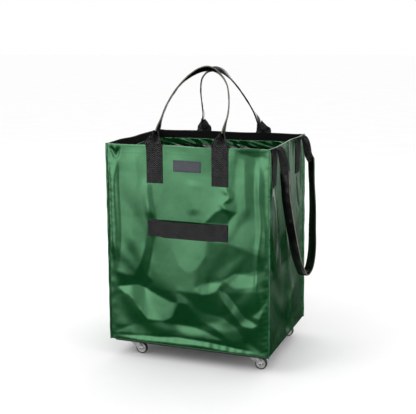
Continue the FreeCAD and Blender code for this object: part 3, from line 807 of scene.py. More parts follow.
def settled_places(verts, faces, held):
    """Where Blender's cloth solver lets the vertices come to rest; `held` is how firmly each is pinned."""
    mesh = bpy.data.meshes.new("settling")
    mesh.from_pydata([tuple(v) for v in verts], [], faces)
    cloth = bpy.data.objects.new("settling", mesh)
    bpy.context.scene.collection.objects.link(cloth)
    pins = cloth.vertex_groups.new(name="held")
    for i, weight in enumerate(held):
        if weight > 0:
            pins.add([i], float(weight), "REPLACE")
    solver = cloth.modifiers.new("settle", "CLOTH")
    for name, value in CLOTH.items():
        setattr(solver.settings, name, value)
    solver.settings.vertex_group_mass = "held"
    solver.collision_settings.use_collision = False
    solver.point_cache.frame_end = SETTLE_FRAMES
    for frame_number in range(1, SETTLE_FRAMES + 1):
        bpy.context.scene.frame_set(frame_number)
    result = cloth.evaluated_get(bpy.context.evaluated_depsgraph_get()).to_mesh()
    places = np.zeros(len(verts) * 3)
    result.vertices.foreach_get("co", places)
    bpy.context.scene.frame_set(1)
    bpy.data.objects.remove(cloth)
    return places.reshape(-1, 3)


def settle_walls():
    """Hang the four walls as slack cloth from their rim, seams and base, and let them settle. What is
    kept is how far each point moves in or out."""
    verts, faces, held, grids = [], [], [], {}
    for wall in WALLS:
        half = wall_half(wall)
        columns, rows = int(2 * half / SETTLE_STEP) + 1, int(WALL_HEIGHT / SETTLE_STEP) + 1
        across, up = np.meshgrid(np.linspace(-half, half, columns), np.linspace(BASE_Z, RIM_Z, rows))
        start = wall_points(wall, across, up)
        grids[wall] = (len(verts), start)
        for r in range(rows - 1):
            for c in range(columns - 1):
                a = len(verts) + r * columns + c
                faces.append((a, a + 1, a + columns + 1, a + columns))
        edge = np.minimum(half - np.abs(across), np.minimum(up - BASE_Z, RIM_Z - up))
        held += list((1 - np.clip(edge / HELD_BAND, 0, 1)).ravel())
        verts += list(start.reshape(-1, 3))
    places = settled_places(verts, faces, held)
    for wall, (first, start) in grids.items():
        rows, columns, _ = start.shape
        moved = places[first:first + rows * columns].reshape(start.shape) - start
        out = moved @ AXES[wall][1]
        for _ in range(2):
            padded = np.pad(out, 1, mode="edge")
            out = (padded[:-2, 1:-1] + padded[2:, 1:-1] + padded[1:-1, :-2] + padded[1:-1, 2:] + 4 * out) / 8
        settled[wall] = np.clip(out, -SETTLE_LIMIT, SETTLE_LIMIT) * SETTLE_SHARE[wall]
    relief_tables.clear()


settle_walls()


def fabric_wall(wall):
    half = wall_half(wall)
    points, uvs = wall_grid(wall, -half, half, BASE_Z, RIM_Z, GRID_STEP)
    piece = sheet_piece(
        f"{wall}_wall_cloth", points, FABRIC, [GREEN, LINING], uvs, sides=(0, 1)
    )
    bag_piece(piece, f"{wall}_panel")


for wall in WALLS:
    fabric_wall(wall)


# ---- Seams, hems and trim on the bag ----

INNER_HEM_DEPTH = 46 * MM
FIN_REACH = 4.6 * MM
FIN_THICK = 1.6 * MM
FIN_SWAY = 0.9 * MM
RING_STEP = 5 * MM * FINE
RING_CORNER = 2.5 * MM
# The length that the texture of a band inside the rim runs to, all the way round.
RING_LENGTH = 1.73
HEM_STITCH_DEPTHS = (6 * MM, 25 * MM)
HEM_STITCH_INSET = 4 * MM


def inner_ring(low, high, rows, inset):
    """A closed ring of points just inside the walls, with its corners cut off."""
    runs = []
    for wall in (FRONT, RIGHT, BACK, LEFT):
        half = wall_half(wall) - inset - RING_CORNER
        across = np.linspace(-half, half, int(2 * half / RING_STEP))
        runs.append(wall_points(wall, *np.meshgrid(across, np.linspace(low, high, rows)), -inset))
    return np.concatenate(runs, axis=1)


def rumpled(points, height):
    """Crumples of up to `height` for a film-covered hem or lining."""
    rng = random.Random(61)
    run = points[..., 0] + points[..., 1] * 0.9
    total = np.zeros(run.shape)
    for _ in range(10):
        length = rng.uniform(12, 60) * MM
        angle = rng.uniform(0.2, 1.5)
        place = run * math.cos(angle) + points[..., 2] * math.sin(angle) * 1.6
        total += np.abs(np.sin(math.pi * place / length + rng.uniform(0, 3.14)))
    return height * total / 10


def inner_band(name, low, high, inset, thickness, material, rows, rumple):
    points = inner_ring(low, high, rows, inset)
    if rumple:
        points = points + grid_normals(points) * -rumpled(points, rumple)[..., None]
    rise, run = np.meshgrid(
        np.linspace(0, high - low, rows), np.linspace(0, RING_LENGTH, points.shape[1]), indexing="ij"
    )
    uvs = np.stack([rise, run], -1).reshape(-1, 2)
    return bag_piece(sheet_piece(name, points, thickness, [material], uvs, ring=True))


TAPE_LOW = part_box("rim_tape")[0].z
HEM_LOW = RIM_Z - INNER_HEM_DEPTH
LINING_LOW = HEM_LOW - 60 * MM
RUMPLE = 9 * MM
BEHIND = FABRIC + 0.2 * MM
binding = inner_band(
    "rim_binding", TAPE_LOW, RIM_Z - 0.4 * MM, FABRIC + 0.9 * MM, 1.0 * MM, TAPE, 9, 0
)
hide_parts("rim_tape")
inner_band("inner_hem", HEM_LOW, TAPE_LOW + 3 * MM, BEHIND, 0.6 * MM, GREEN, 16, RUMPLE)
inner_band(
    "inner_lining", LINING_LOW, HEM_LOW + 2 * MM, BEHIND, 0.5 * MM, LINING, 40, RUMPLE
)


def corner_fin(sign_x, sign_y):
    """The sewn allowance that stands out along an upright corner, a little wavy."""
    heights = np.linspace(BASE_Z, RIM_Z, int(WALL_HEIGHT / GRID_STEP) + 1)
    steps = np.linspace(-0.6 * MM, FIN_REACH, 5)
    points = np.zeros((len(heights), len(steps), 3))
    out = np.array([sign_x, sign_y, 0]) / math.sqrt(2)
    sideways = np.array([-out[1], out[0], 0])
    phase = sign_x * 1.3 + sign_y * 0.6
    for r, z in enumerate(heights):
        share = (z - BASE_Z) / WALL_HEIGHT
        corner = np.array([
            BAG_X + sign_x * (BASE_HALF_X + (RIM_HALF_X - BASE_HALF_X) * share),
            sign_y * (BASE_HALF_Y + (RIM_HALF_Y - BASE_HALF_Y) * share),
            z,
        ])
        wave = math.sin(z * 55 + phase) + 0.6 * math.sin(z * 131 + phase * 3)
        for c, step in enumerate(steps):
            lean = (step / FIN_REACH) ** 2 * FIN_SWAY * wave
            points[r, c] = corner + out * step * (1 + 0.08 * math.sin(z * 83)) + sideways * lean
    return sheet_from_grid(points + grid_normals(points) * FIN_THICK / 2, FIN_THICK)


def corner_seams():
    """All four corners' fins; the right ones are a lighter green, a painted highlight, and the left ones are
    the walls' own dark green.
    """
    verts, faces, indices = [], [], []
    for sign_x in (-1, 1):
        for sign_y in (-1, 1):
            fin_verts, fin_faces, _ = corner_fin(sign_x, sign_y)
            indices += [int(sign_x < 0)] * len(fin_faces)
            faces += [tuple(i + len(verts) for i in face) for face in fin_faces]
            verts += list(fin_verts)
    piece = make_piece("corner_seam_fins", verts, faces, [GREEN_SEAM_HIGHLIGHT, GREEN], indices)
    bag_piece(piece, "corner_seams")


corner_seams()


def bottom_cloth():
    low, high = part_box("bottom_panel")
    x, y = np.meshgrid(np.linspace(low.x, high.x, 60 // FINE), np.linspace(low.y, high.y, 46 // FINE))
    z = high.z + 0.2 * MM + 0.25 * MM * np.sin(x * 31) * np.sin(y * 43)
    points = np.stack([x, y, z], -1)
    piece = sheet_piece("bottom_cloth", points, FABRIC, [GREEN, LINING], sides=(1, 0))
    bag_piece(piece, "bottom_panel")


bottom_cloth()


# ---- Stitches ----

# A stitch's section, as shares of its half thickness, and its swelling along its length.
STITCH_SECTION = ((1, 0), (0.5, 0.8), (-0.5, 0.8), (-1, 0), (-0.5, -0.5), (0.5, -0.5))
STITCH_SWELL = ((0.0, 0.35), (0.25, 1.0), (0.75, 1.0), (1.0, 0.35))


def stitch_mesh(starts, ends, outs, thick):
    """Small raised stitches, each a lens from its start to its end, standing out along `outs`."""
    verts, faces = [], []
    size = len(STITCH_SECTION)
    for start, end, out in zip(starts, ends, outs):
        run = end - start
        side = np.cross(out, unit(run))
        base = len(verts)
        for share, swell in STITCH_SWELL:
            centre = start + run * share + out * thick * 0.25 * swell
            for a, b in STITCH_SECTION:
                verts.append(centre + (side * a + out * b) * thick * 0.5 * swell)
        for ring in range(len(STITCH_SWELL) - 1):
            for k in range(size):
                a, b = base + ring * size + k, base + ring * size + (k + 1) % size
                faces.append((a, b, b + size, a + size))
        faces.append(tuple(range(base + size - 1, base - 1, -1)))
        faces.append(tuple(range(len(verts) - size, len(verts))))
    return verts, faces


LINE_STEP = 4 * MM


def wall_line(wall, ends, lift):
    """Points and outward directions along a straight line on a wall, given as (across, up) ends."""
    (x0, z0), (x1, z1) = ends
    count = max(3, int(math.hypot(x1 - x0, z1 - z0) / LINE_STEP))
    across = np.linspace(x0, x1, count)[None, :]
    up = np.linspace(z0, z1, count)[None, :]
    here = wall_points(wall, across, up, lift)[0]
    beside = wall_points(wall, across + 1 * MM, up, lift)[0]
    above = wall_points(wall, across, up + 1 * MM, lift)[0]
    outs = np.cross(beside - here, above - here)
    return here, outs / np.linalg.norm(outs, axis=1, keepdims=True)


class Stitching:
    """Collects stitches that go into one object."""

    def __init__(self):
        self.verts, self.faces = [], []

    def add(self, points, outs, length=3.0 * MM, gap=1.2 * MM, thick=0.7 * MM):
        """Stitches along a line of points that each have an outward direction."""
        points, outs = np.asarray(points), np.asarray(outs)
        lengths = run_lengths(points)
        starts = np.arange(int(lengths[-1] / (length + gap))) * (length + gap) + gap / 2
        ups = [unit(out) for out in read_along(outs, lengths, starts + length / 2)]
        begin, end = (read_along(points, lengths, where) for where in (starts, starts + length))
        verts, faces = stitch_mesh(begin, end, ups, thick)
        self.faces += [tuple(i + len(self.verts) for i in face) for face in faces]
        self.verts += verts

    def box(self, wall, x0, x1, z0, z1, lift, cross=True):
        corners = [(x0, z0), (x1, z0), (x1, z1), (x0, z1), (x0, z0)]
        lines = list(zip(corners, corners[1:]))
        if cross:
            lines += [(corners[0], corners[2]), (corners[1], corners[3])]
        for line in lines:
            self.add(*wall_line(wall, line, lift))

    def piece(self, name, material, slot, body="bag"):
        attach(make_piece(name, self.verts, self.faces, [material]), body)


def hem_stitches():
    lines = Stitching()
    for wall in WALLS:
        reach = wall_half(wall) - HEM_STITCH_INSET
        for depth in HEM_STITCH_DEPTHS:
            ends = ((-reach, RIM_Z - depth), (reach, RIM_Z - depth))
            lines.add(*wall_line(wall, ends, 0.1 * MM), thick=0.8 * MM)
    lines.piece("hem_stitches", GREEN_THREAD, "seam_fabric")


hem_stitches()


# ---- Label ----

LABEL_STEP = 2.0 * MM
LABEL_THICK = 0.9 * MM
LABEL_LIFT = 1.0 * MM
LABEL_HEM = 2.5 * MM


def label_patch():
    low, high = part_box("label")
    left, right = low.x - BAG_X, high.x - BAG_X
    points, uvs = wall_grid(FRONT, left, right, low.z, high.z, LABEL_STEP, LABEL_LIFT)
    bag_piece(sheet_piece("label_patch", points, LABEL_THICK, [LABEL], uvs), "label")
    border = Stitching()
    border.box(
        FRONT, left + LABEL_HEM, right - LABEL_HEM, low.z + LABEL_HEM, high.z - LABEL_HEM,
        LABEL_LIFT + 0.1 * MM, cross=False,
    )
    border.piece("label_stitches", BLACK_THREAD, "black_webbing")


label_patch()


# ---- Webbing ----

WEB_WIDTH = 50 * MM
WEB_THICK = 1.7 * MM
WEB_LIFT = WEB_THICK + 0.3 * MM
STITCH_LIFT = WEB_THICK + 0.35 * MM
WEB_ACROSS = np.linspace(-WEB_WIDTH / 2, WEB_WIDTH / 2, 17)
WEB_STEP = 2.5 * MM * FINE
FOLDED_HALF = 12.0 * MM
FOLD_ROUND = 2.2 * MM
FOLD_GAP = 2.0 * MM


def folded_row(centre, across, outward, angle):
    """A row of points across a strip of webbing that is folded lengthwise by an angle (0 is flat).
    Both edges swing towards `outward`; the fold is rounded."""
    t = WEB_ACROSS
    bend = FOLD_ROUND * math.sin(angle)
    out = (np.sqrt(t * t + bend ** 2) - bend) * math.sin(angle) - FOLDED_HALF * math.sin(angle)
    gap = np.copysign(np.minimum(np.abs(t), FOLD_GAP), t)
    side = t * math.cos(angle) + gap * math.sin(angle) * 0.85
    return centre + across * side[:, None] + outward * out[:, None]


def sewn_row(wall, middle, up):
    """A row of points across webbing that lies on a wall."""
    return wall_points(wall, middle + WEB_ACROSS, np.full(len(WEB_ACROSS), up), WEB_LIFT)


def webbing_piece(name, rows, step, start, end, body, *nodes):
    """A strip of webbing between the bag and a handle, made as one piece in place of the given CAD nodes."""
    uvs = [(across + WEB_WIDTH / 2, r * step) for r in range(len(rows)) for across in WEB_ACROSS]
    piece = sheet_piece(name, np.array(rows), WEB_THICK, [WEBBING], uvs)
    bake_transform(piece)
    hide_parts(*nodes)


def smooth_path(points, count):
    """Evenly spaced points on a smooth curve through the given ones."""
    curve = curve_through(points, 30)
    lengths = run_lengths(curve)
    return read_along(curve, lengths, np.linspace(0, lengths[-1], count))


def on_wall(wall, across, out, up):
    """A world point from distances across a wall, out from the bag's middle, and up."""
    side, outward = AXES[wall]
    return MIDDLE + side * across + outward * out + UP * up


# ---- Carry handles ----

HINGE_OUT = 0.187
HINGE_Z = 0.657
HANDLE_LEAN = math.radians(40.2)
SLEEVE_START = 31 * MM
ANCHOR_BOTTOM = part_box("front_handle_anchors")[0].z
# The arches, in mm: to the right as seen from the front, and up the handle's plane from its hinge.
ARCHES = {
    FRONT: [
        (-97, 36), (-95, 70), (-94, 115), (-86, 160), (-71, 203), (-52, 234), (-28, 257), (-9, 267),
        (6, 270), (21, 267), (39, 257), (63, 234), (82, 203), (96, 160), (104, 115), (105, 70), (105, 36),
    ],
    BACK: [
        (-82, 36), (-72, 66), (-63, 112), (-55, 158), (-45, 197), (-32, 229), (-14, 252), (1, 263),
        (15, 266), (29, 263), (44, 253), (58, 229), (71, 197), (84, 158), (96, 112), (105, 66), (110, 36),
    ],
}
HANDLE_MIDDLE = {FRONT: 4 * MM, BACK: 14 * MM}
FOOT_HALF_GAP = 101 * MM
# How much of its width the webbing loses when it is folded as far as it goes.
FULL_FOLD = 0.85
# Along the webbing: how far it runs on into the sleeve, how far before the hinge its folding starts,
# how soon after the hinge it stands at the hinge's distance, and where and how fast it leaves the wall.
SLEEVE_OVERLAP = 9 * MM
FOLD_LEAD = 5 * MM
CLEAR_RUN = 18 * MM
LEAVE_BEFORE, LEAVE_RUN = 24 * MM, 16 * MM
# A start this far below a carry handle's hinge and a run this long, handed to its webbing pieces.
BEND_BEFORE, BEND_RUN = 3 * MM, 10 * MM
# The box of stitches on an anchor: half its width, and its bottom and top above the anchor's bottom.
ANCHOR_BOX_HALF = 20 * MM
ANCHOR_BOX_LOW, ANCHOR_BOX_HIGH = 5 * MM, 42 * MM


def handle_directions(wall):
    """Up the leaning plane of a wall's carry handle, and out of that plane."""
    side, outward = AXES[wall]
    rise = UP * math.cos(HANDLE_LEAN) - outward * math.sin(HANDLE_LEAN)
    return rise, np.cross(side, rise)


def handle_point(wall, x, climb):
    """A point of a handle's plane; x is to the right of the bag's middle as seen from the front."""
    rise, _ = handle_directions(wall)
    return on_wall(wall, x * AXES[wall][0][0], HINGE_OUT, HINGE_Z) + rise * climb


def funnel_angle(share):
    """How far the webbing is folded on its way into a sleeve, so that it narrows evenly."""
    eased = share * share / (share + 0.1) * 1.1 if share > 0 else 0.0
    return math.acos(1 - FULL_FOLD * min(1.0, eased))


def handle_leg(wall, index, x_foot, x_top):
    """Webbing that is sewn down the wall, leaves it at the rim and is folded into the sleeve."""
    side, outward = AXES[wall]
    _, facing = handle_directions(wall)
    wall_run = HINGE_Z - ANCHOR_BOTTOM
    length = wall_run + SLEEVE_START + SLEEVE_OVERLAP
    count = int(length / WEB_STEP) + 1
    rows = []
    for d in np.linspace(0, length, count):
        climb = d - wall_run
        angle = funnel_angle((climb + FOLD_LEAD) / (SLEEVE_START + 2 * FOLD_LEAD))
        x = x_foot + (x_top - x_foot) * float(smooth_step(climb / SLEEVE_START))
        out = facing if climb > 0 else outward
        if climb > 0:
            centre = handle_point(wall, x, climb)
        else:
            centre = on_wall(wall, x * side[0], HINGE_OUT, HINGE_Z + climb)
        clear = FOLDED_HALF * math.sin(angle) * (1 - float(smooth_step(climb / CLEAR_RUN)))
        row = folded_row(centre + out * clear, side, out, angle)
        if climb < 0:
            share = float(smooth_step((climb + LEAVE_BEFORE) / LEAVE_RUN))
            row = sewn_row(wall, x * side[0], HINGE_Z + climb) * (1 - share) + row * share
        rows.append(row)
    start = on_wall(wall, 0, HINGE_OUT, HINGE_Z - BEND_BEFORE)
    webbing_piece(
        f"{wall}_handle_webbing_{index}", rows, length / (count - 1), start, start + UP * BEND_RUN,
        f"{wall}_handle", f"{wall}_handle_anchors", f"{wall}_handle_roots",
    )
    return x_foot * side[0]


def anchor_stitches(wall, middles, top):
    lines = Stitching()
    for middle in middles:
        x0, x1 = middle - ANCHOR_BOX_HALF, middle + ANCHOR_BOX_HALF
        low, high = ANCHOR_BOTTOM + ANCHOR_BOX_LOW, ANCHOR_BOTTOM + ANCHOR_BOX_HIGH
        lines.box(wall, x0, x1, low, high, STITCH_LIFT)
        lines.add(*wall_line(wall, ((x0, top), (x1, top)), STITCH_LIFT))
    lines.piece(f"{wall}_anchor_stitches", BLACK_THREAD, "black_webbing")


# Half of the sleeve's section, in mm: (distance from the middle towards the open edge, half thickness).
SLEEVE_SECTION = [
    (14.0, 1.3), (13.0, 1.7), (11.6, 1.5), (10.0, 1.9), (6.0, 2.4), (0.0, 2.6),
    (-6.0, 2.5), (-10.5, 2.1), (-13.0, 1.4), (-14.2, 0.6),
]
# Where the sleeve's stitches run: towards the open edge, and out from the middle.
SEAM_PLACE, SEAM_OUT = 11.6 * MM, 1.55 * MM
# At its ends a sleeve gets thicker and narrower: by what share, and over what length.
FLARE, FLARE_RUN = 0.1, 4 * MM
NARROWING, NARROWING_RUN = 0.2, 7 * MM


def sleeve(name, path, wides, body, node, waver=0.4):
    """A vinyl sleeve along a path, flat and folded on one edge, with a pale painted highlight along its open
    edges on the other.
    `wides` has the direction of the flat side's open edge at each point of the path."""
    section = SLEEVE_SECTION + [(w, -b) for w, b in reversed(SLEEVE_SECTION)]
    size = len(section)
    verts, faces, indices, uvs, frames = [], [], [], [], []
    lengths = run_lengths(path)
    perimeter = np.cumsum([0] + [math.dist(a, b) for a, b in zip(section, section[1:])])
    for centre, tangent, wide, run in zip(path, np.gradient(path, axis=0), wides, lengths):
        tangent = tangent / np.linalg.norm(tangent)
        flat = unit(wide - tangent * (wide @ tangent))
        thin = np.cross(tangent, flat)
        from_end = min(run, lengths[-1] - run)
        flare = 1 + FLARE * math.exp(-from_end / FLARE_RUN)
        narrow = 1 - NARROWING * math.exp(-from_end / NARROWING_RUN)
        puff = 1 + 0.10 * math.sin(run * 95) + 0.06 * math.sin(run * 210 + 1)
        sway = waver * MM * math.sin(run * 40)
        frames.append((centre, flat, thin, sway))
        for k, (w, b) in enumerate(section):
            verts.append(centre + flat * (w * MM * narrow + sway) + thin * b * MM * puff * flare)
            uvs.append((perimeter[k] * MM, run))
    for first in range(0, len(verts) - size, size):
        for k in range(size):
            a, b = first + k, first + (k + 1) % size
            faces.append((a, b, b + size, a + size))
            # The open edge faces take the pale painted highlight.
            indices.append(1 if k in (size - 1, 0, size - 2) else 0)
    faces.append(tuple(reversed(range(size))))
    faces.append(tuple(range(len(verts) - size, len(verts))))
    indices += [0, 0]
    piece = make_piece(name, verts, faces, [VINYL, GRIP_EDGE_HIGHLIGHT], indices, uvs)
    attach(piece, body)
    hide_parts(node)
    seam = Stitching()
    for sign in (-1, 1):
        line = [c + flat * (SEAM_PLACE + sway) + thin * sign * SEAM_OUT for c, flat, thin, sway in frames]
        outs = [thin * sign for _, _, thin, _ in frames]
        seam.add(line[2:-2], outs[2:-2], length=3.2 * MM, gap=1.6 * MM, thick=0.75 * MM)
    seam.piece(name + "_stitches", BLACK_THREAD, "grip_vinyl", body)


# The grips' open edges turn away from the handle's plane: by how much up and to the side, over which
# share of the length, and how much of that turn is lost again in the middle.
EDGE_RISE, EDGE_ASIDE = 0.16, 0.34
TURN_RUN = 0.12
RETURN_START, RETURN_RUN, RETURN_SHARE = 0.3, 0.2, 0.75
HANDLE_RINGS, STRAP_RINGS = 150 // FINE, 170 // FINE
# The rows of stitches across the anchors, below the rim.
HANDLE_ROW_DEPTH, STRAP_ROW_DEPTH = 19 * MM, 24 * MM


def carry_handle(wall):
    arch = ARCHES[wall]
    middles = []
    for index, (sign, end) in enumerate(((-1, arch[0]), (1, arch[-1]))):
        foot = HANDLE_MIDDLE[wall] + sign * FOOT_HALF_GAP
        middles.append(handle_leg(wall, index, foot, end[0] * MM))
    anchor_stitches(wall, middles, RIM_Z - HANDLE_ROW_DEPTH)
    path = smooth_path([handle_point(wall, x * MM, climb * MM) for x, climb in arch], HANDLE_RINGS)
    _, facing = handle_directions(wall)
    outward = AXES[wall][1]
    turned = outward - outward[1] * (UP * EDGE_RISE + np.array([EDGE_ASIDE, 0, 0]))
    wides = []
    for share in np.linspace(0, 1, len(path)):
        from_end = min(share, 1 - share)
        back = RETURN_SHARE * smooth_step((from_end - RETURN_START) / RETURN_RUN)
        twist = float(smooth_step(from_end / TURN_RUN) * (1 - back))
        wides.append(facing * (1 - twist) + turned * twist)
    sleeve(f"{wall}_handle_grip", path, wides, f"{wall}_handle", f"{wall}_handle_sleeve")


for wall in (FRONT, BACK):
    carry_handle(wall)


# ---- Side strap ----

SIDE_FEET = (-145 * MM, 120 * MM)
# The loop, in mm: (out from the bag's middle, towards the back, up).
STRAP_LOOP = [
    (280, -145, 592), (281, -145, 562), (284, -144, 520), (292, -141, 466), (300, -134, 402),
    (306, -114, 348), (308, -82, 305), (306, -46, 274), (303, -10, 257), (302, 28, 252),
    (302, 62, 261), (301, 88, 288), (300, 105, 330), (298, 113, 380), (296, 117, 430),
    (293, 119, 500), (290, 120, 560), (288, 120, 592),
]
# How far the loop's open edge is turned towards the front: (share of its length, degrees).
STRAP_TWIST = [(0, 4), (0.06, 14), (0.4, 12), (0.6, 14), (0.9, 38), (1, 30)]
# How a strap's webbing turns over at the rim, in mm: (out from the bag's middle, up).
STRAP_TURN = [(249.5, 637), (250.5, 645), (255, 650.5), (262, 648), (269, 637), (275, 618), (280, 598),
    (282, 580)]
# A start this far out, clear of the wall's bulges, and a run this long, handed to the strap's webbing pieces.
STRAP_BEND_OUT = 256.5 * MM
STRAP_BEND_RUN = 5 * MM
# The strap's webbing is sewn flat up to this height. Of the run that turns over, a first share leaves
# the wall, and the folding starts at another share and takes a third one.
STRAP_SEWN_TOP = 0.634
STRAP_LEAVE_SHARE = 0.15
STRAP_FOLD_START, STRAP_FOLD_RUN = 0.12, 0.6


def strap_leg(index, middle, x_top):
    """Webbing that is sewn to the right wall, turns over at the rim and is folded into the sleeve."""
    side, outward = AXES[RIGHT]
    rows = [sewn_row(RIGHT, middle, z) for z in np.arange(ANCHOR_BOTTOM, STRAP_SEWN_TOP, WEB_STEP)]
    turn = [(x * MM, 0, z * MM) for x, z in STRAP_TURN]
    turn[-1] = (x_top + 2 * MM, *turn[-1][1:])
    free = smooth_path(turn, 34 // FINE + 6)
    for share, point, tangent in zip(np.arange(len(free)) / (len(free) - 1), free, np.gradient(free, axis=0)):
        out = np.cross(side, unit(outward * tangent[0] + UP * tangent[2]))
        angle = funnel_angle((share - STRAP_FOLD_START) / STRAP_FOLD_RUN)
        row = folded_row(on_wall(RIGHT, middle, point[0], point[2]), side, -out, angle)
        held = sewn_row(RIGHT, middle, min(point[2], RIM_Z))
        keep = float(smooth_step(1 - share / STRAP_LEAVE_SHARE))
        rows.append(row * (1 - keep) + (held * [1, 1, 0] + row * [0, 0, 1]) * keep)
    start = on_wall(RIGHT, 0, STRAP_BEND_OUT, HINGE_Z)
    webbing_piece(
        f"{RIGHT}_strap_webbing_{index}", rows, WEB_STEP, start, start + outward * STRAP_BEND_RUN,
        "side_strap", "side_strap_anchors", "side_strap_roots",
    )


def side_strap():
    side, outward = AXES[RIGHT]
    for index, middle in enumerate(SIDE_FEET):
        strap_leg(index, middle, STRAP_LOOP[-index][0] * MM)
    anchor_stitches(RIGHT, SIDE_FEET, RIM_Z - STRAP_ROW_DEPTH)
    path = smooth_path([on_wall(RIGHT, y * MM, x * MM, z * MM) for x, y, z in STRAP_LOOP], STRAP_RINGS)
    wides = []
    for share in np.linspace(0, 1, len(path)):
        turn = math.radians(np.interp(share, *zip(*STRAP_TWIST)))
        wides.append(outward * math.cos(turn) - side * math.sin(turn) + UP * 0.06)
    sleeve("side_strap_grip", path, wides, "side_strap", "side_strap_sleeve", 0.8)


side_strap()


# ---- Grab handles ----

GRAB_LOW, GRAB_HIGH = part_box("front_grab_handle")
GRAB_SEWN = 34 * MM
GRAB_RAMP = 26 * MM
GRAB_GAP = 8.6 * MM
GRAB_SAG = 1.6 * MM
GRAB_BOW, GRAB_TWIST = 1.2 * MM, 1.5 * MM


def grab_handle(wall):
    """A flat strap across a wall, sewn at both ends and clear of the wall between them."""
    side, outward = AXES[wall]
    middle = ((GRAB_LOW.x + GRAB_HIGH.x) / 2 - BAG_X) * side[0]
    half = (GRAB_HIGH.x - GRAB_LOW.x) / 2
    across, up = np.meshgrid(
        np.linspace(middle - half, middle + half, 110 // FINE), np.linspace(GRAB_LOW.z, GRAB_HIGH.z, 13)
    )
    held = wall_points(wall, across, up, WEB_LIFT)
    free = smooth_step((half - np.abs(across - middle) - GRAB_SEWN) / GRAB_RAMP)
    height_share = (up - GRAB_LOW.z) / WEB_WIDTH - 0.5
    level = (BASE_HALF_Y + RIM_HALF_Y) / 2 + GRAB_GAP + GRAB_BOW * np.cos((across - middle) * 22)
    level = level + height_share * GRAB_TWIST * np.cos((across - middle) * 15 + 0.5)
    flat = MIDDLE + side * across[..., None] + outward * level[..., None] + UP * up[..., None]
    points = held * (1 - free[..., None]) + flat * free[..., None]
    points[..., 2] -= free * GRAB_SAG * (0.6 + height_share)
    uvs = np.stack([up - GRAB_LOW.z, across - middle], -1).reshape(-1, 2)
    piece = sheet_piece(f"{wall}_grab_strap", points, WEB_THICK, [WEBBING], uvs)
    bag_piece(piece, f"{wall}_grab_handle")
    lines = Stitching()
    for sign in (-1, 1):
        x0, x1 = sorted(middle + sign * (half - inset) for inset in (GRAB_SEWN - 2 * MM, 4 * MM))
        lines.box(wall, x0, x1, GRAB_LOW.z + 5 * MM, GRAB_HIGH.z - 5 * MM, STITCH_LIFT)
    lines.piece(f"{wall}_grab_stitches", BLACK_THREAD, "black_webbing")


for wall in (FRONT, BACK):
    grab_handle(wall)


# ---- Finishes for the hard pieces kept from the frame ----

FINISHES = {
    "base_board": BOARD,
    "inner_board": BOARD,
    "board_rivets": ZINC,
    "plate": ZINC,
    "kingpin": BRIGHT,
    "balls": BRIGHT,
    "fork": ZINC,
    "wheel_core": WHEEL_GREY,
    "tyre": TYRE,
    "axle_bolt": BRIGHT,
    "axle_nut": BRIGHT,
}
for name, node in NODES.items():
    for ending, material in FINISHES.items():
        if name.endswith(ending):
            node.data.materials.clear()
            node.data.materials.append(material)


# ---- Floor, light and camera ----

FLOOR_REACH = 30.0


def put_in_scene(name, data):
    made = bpy.data.objects.new(name, data)
    bpy.context.scene.collection.objects.link(made)
    return made


def floor():
    s = Shader("pale_floor")
    speckle = s.ramp(s.noise(4.0, 3.0, 0.5), [(0.3, (0.97, 0.97, 0.97)), (0.7, (0.99, 0.99, 0.99))])
    s.set(Base_Color=speckle, Roughness=0.9, Specular_IOR_Level=0.0)
    mesh = bpy.data.meshes.new("floor")
    corners = [(x * FLOOR_REACH, y * FLOOR_REACH, 0) for x, y in ((-1, -1), (1, -1), (1, 1), (-1, 1))]
    mesh.from_pydata(corners, [], [(0, 1, 2, 3)])
    mesh.materials.append(s.material)
    made = put_in_scene("floor", mesh)
    made.visible_glossy = False
    made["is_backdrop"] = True


# The lamps: name, place, the point it faces, size and power in watts.
LAMPS = [
    ("key", (-1.8, -2.2, 2.6), (0, 0, 0.35), (1.6, 1.6), 25),
    ("fill", (2.6, -0.6, 1.6), (0, 0, 0.35), (1.4, 1.8), 6),
    ("back", (0.3, 2.8, 2.2), (0, 0, 0.4), (2.0, 1.4), 12),
]


def area_light(name, place, target, size, power):
    lamp = bpy.data.lights.new(name, "AREA")
    lamp.shape = "RECTANGLE"
    lamp.size, lamp.size_y = size
    lamp.energy = power
    made = put_in_scene(name, lamp)
    made.location = place
    look = Vector(target) - Vector(place)
    made.rotation_euler = look.to_track_quat("-Z", "Y").to_euler()
    made.visible_camera = False


# The studio as glossy surfaces see it. Brightness by the direction's height, from -1 to 1, and a share
# by its bearing in degrees, 0 at the front and positive towards +X: soft boxes with dim gaps between.
GLOSS_HEIGHTS = [
    (-1.0, 0.9), (-0.76, 0.6), (-0.66, 0.08), (-0.58, 0.01), (-0.40, 0.01), (-0.33, 0.15), (-0.25, 0.50),
    (-0.17, 1.7), (-0.05, 2.6), (0.3, 1.7), (0.6, 0.8), (1.0, 1.2),
]
GLOSS_BEARINGS = [
    (-180, 1.0), (-165, 0.9), (-140, 0.35), (-120, 0.35), (-105, 1.0), (-72, 1.0), (-60, 0.3),
        (-50, 0.35),
    (-42, 0.95), (-19, 1.0), (-12, 0.35), (2, 0.3), (10, 0.9), (38, 0.95), (46, 0.35), (62, 0.3),
    (72, 0.95), (108, 0.95), (122, 0.4), (138, 0.12), (152, 0.12), (158, 0.28), (166, 0.29), (172, 0.12),
        (180, 1.0),
]


def grey_stops(stops, low, high):
    """Ramp stops from (value, brightness) pairs over a range of values, with the brightest as 1."""
    brightest = max(grey for _, grey in stops)
    return [((value - low) / (high - low), (grey / brightest,) * 3) for value, grey in stops]


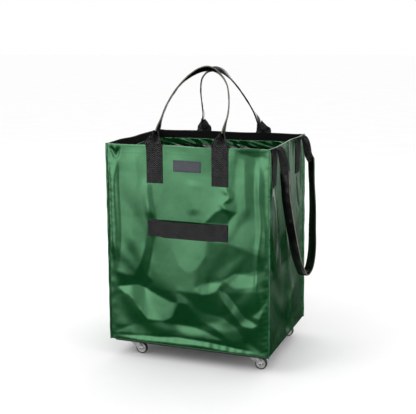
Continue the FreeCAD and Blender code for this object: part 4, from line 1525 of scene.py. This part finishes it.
def world_light():
    """White to the eye and even for soft fill; seen in gloss it is a studio with soft boxes."""
    world = bpy.data.worlds.new("studio")
    bpy.context.scene.world = world
    world.use_nodes = True
    sky = Nodes(world.node_tree)
    x, y, z = sky.node("SeparateXYZ", Vector=sky.node("TexCoord").outputs["Generated"]).outputs
    height = sky.node("MapRange", Value=z, From_Min=-1).outputs[0]
    bearing = sky.math("ARCTAN2", x, sky.math("MULTIPLY", y, -1))
    turn = sky.node("MapRange", Value=bearing, From_Min=-math.pi, From_Max=math.pi).outputs[0]
    by_height = sky.ramp(height, grey_stops(GLOSS_HEIGHTS, -1, 1))
    by_bearing = sky.ramp(turn, grey_stops(GLOSS_BEARINGS, -180, 180))
    both = sky.fed("VectorMath", by_height, by_bearing, operation="MULTIPLY")
    plain = sky.tree.nodes["Background"]
    plain.inputs["Color"].default_value = (1, 1, 1, 1)
    gloss = sky.node("Background", Color=both, Strength=max(grey for _, grey in GLOSS_HEIGHTS))
    is_gloss = sky.node("LightPath").outputs["Is Glossy Ray"]
    mix = sky.fed("MixShader", is_gloss, plain.outputs[0], gloss.outputs[0])
    sky.feed(sky.tree.nodes["World Output"].inputs["Surface"], mix)


CAMERA_PLACE = (BAG_X + 0.9072, -2.3782, 0.9724)
CAMERA_YAW = math.radians(20.96)
CAMERA_PITCH = math.radians(11.78)
CAMERA_ROLL = math.radians(-0.6)
CAMERA_LENS, CAMERA_SENSOR = 73.2, 36.0
CAMERA_REACH = 100.0


def camera():
    made = put_in_scene("camera", bpy.data.cameras.new("camera"))
    made.data.lens = CAMERA_LENS
    made.data.sensor_width = CAMERA_SENSOR
    made.data.clip_end = CAMERA_REACH
    level = math.cos(CAMERA_PITCH)
    ahead = Vector((-math.sin(CAMERA_YAW) * level, math.cos(CAMERA_YAW) * level, -math.sin(CAMERA_PITCH)))
    right = Vector((math.cos(CAMERA_YAW), math.sin(CAMERA_YAW), 0))
    above = right.cross(ahead)
    turned_right = right * math.cos(CAMERA_ROLL) + above * math.sin(CAMERA_ROLL)
    turned_up = above * math.cos(CAMERA_ROLL) - right * math.sin(CAMERA_ROLL)
    rotation = Matrix((turned_right, turned_up, -ahead)).transposed()
    made.matrix_world = Matrix.Translation(CAMERA_PLACE) @ rotation.to_4x4()
    bpy.context.scene.camera = made


floor()
for lamp in LAMPS:
    area_light(*lamp)
world_light()
camera()
bpy.context.scene.view_settings.view_transform = "Standard"

visual_low, visual_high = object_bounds()
corners = zip(("cad", "visual"), ((cad_low, cad_high), (visual_low, visual_high)))
lines = [f'"{name}": {[[round(v, 5) for v in corner] for corner in box]}' for name, box in corners]
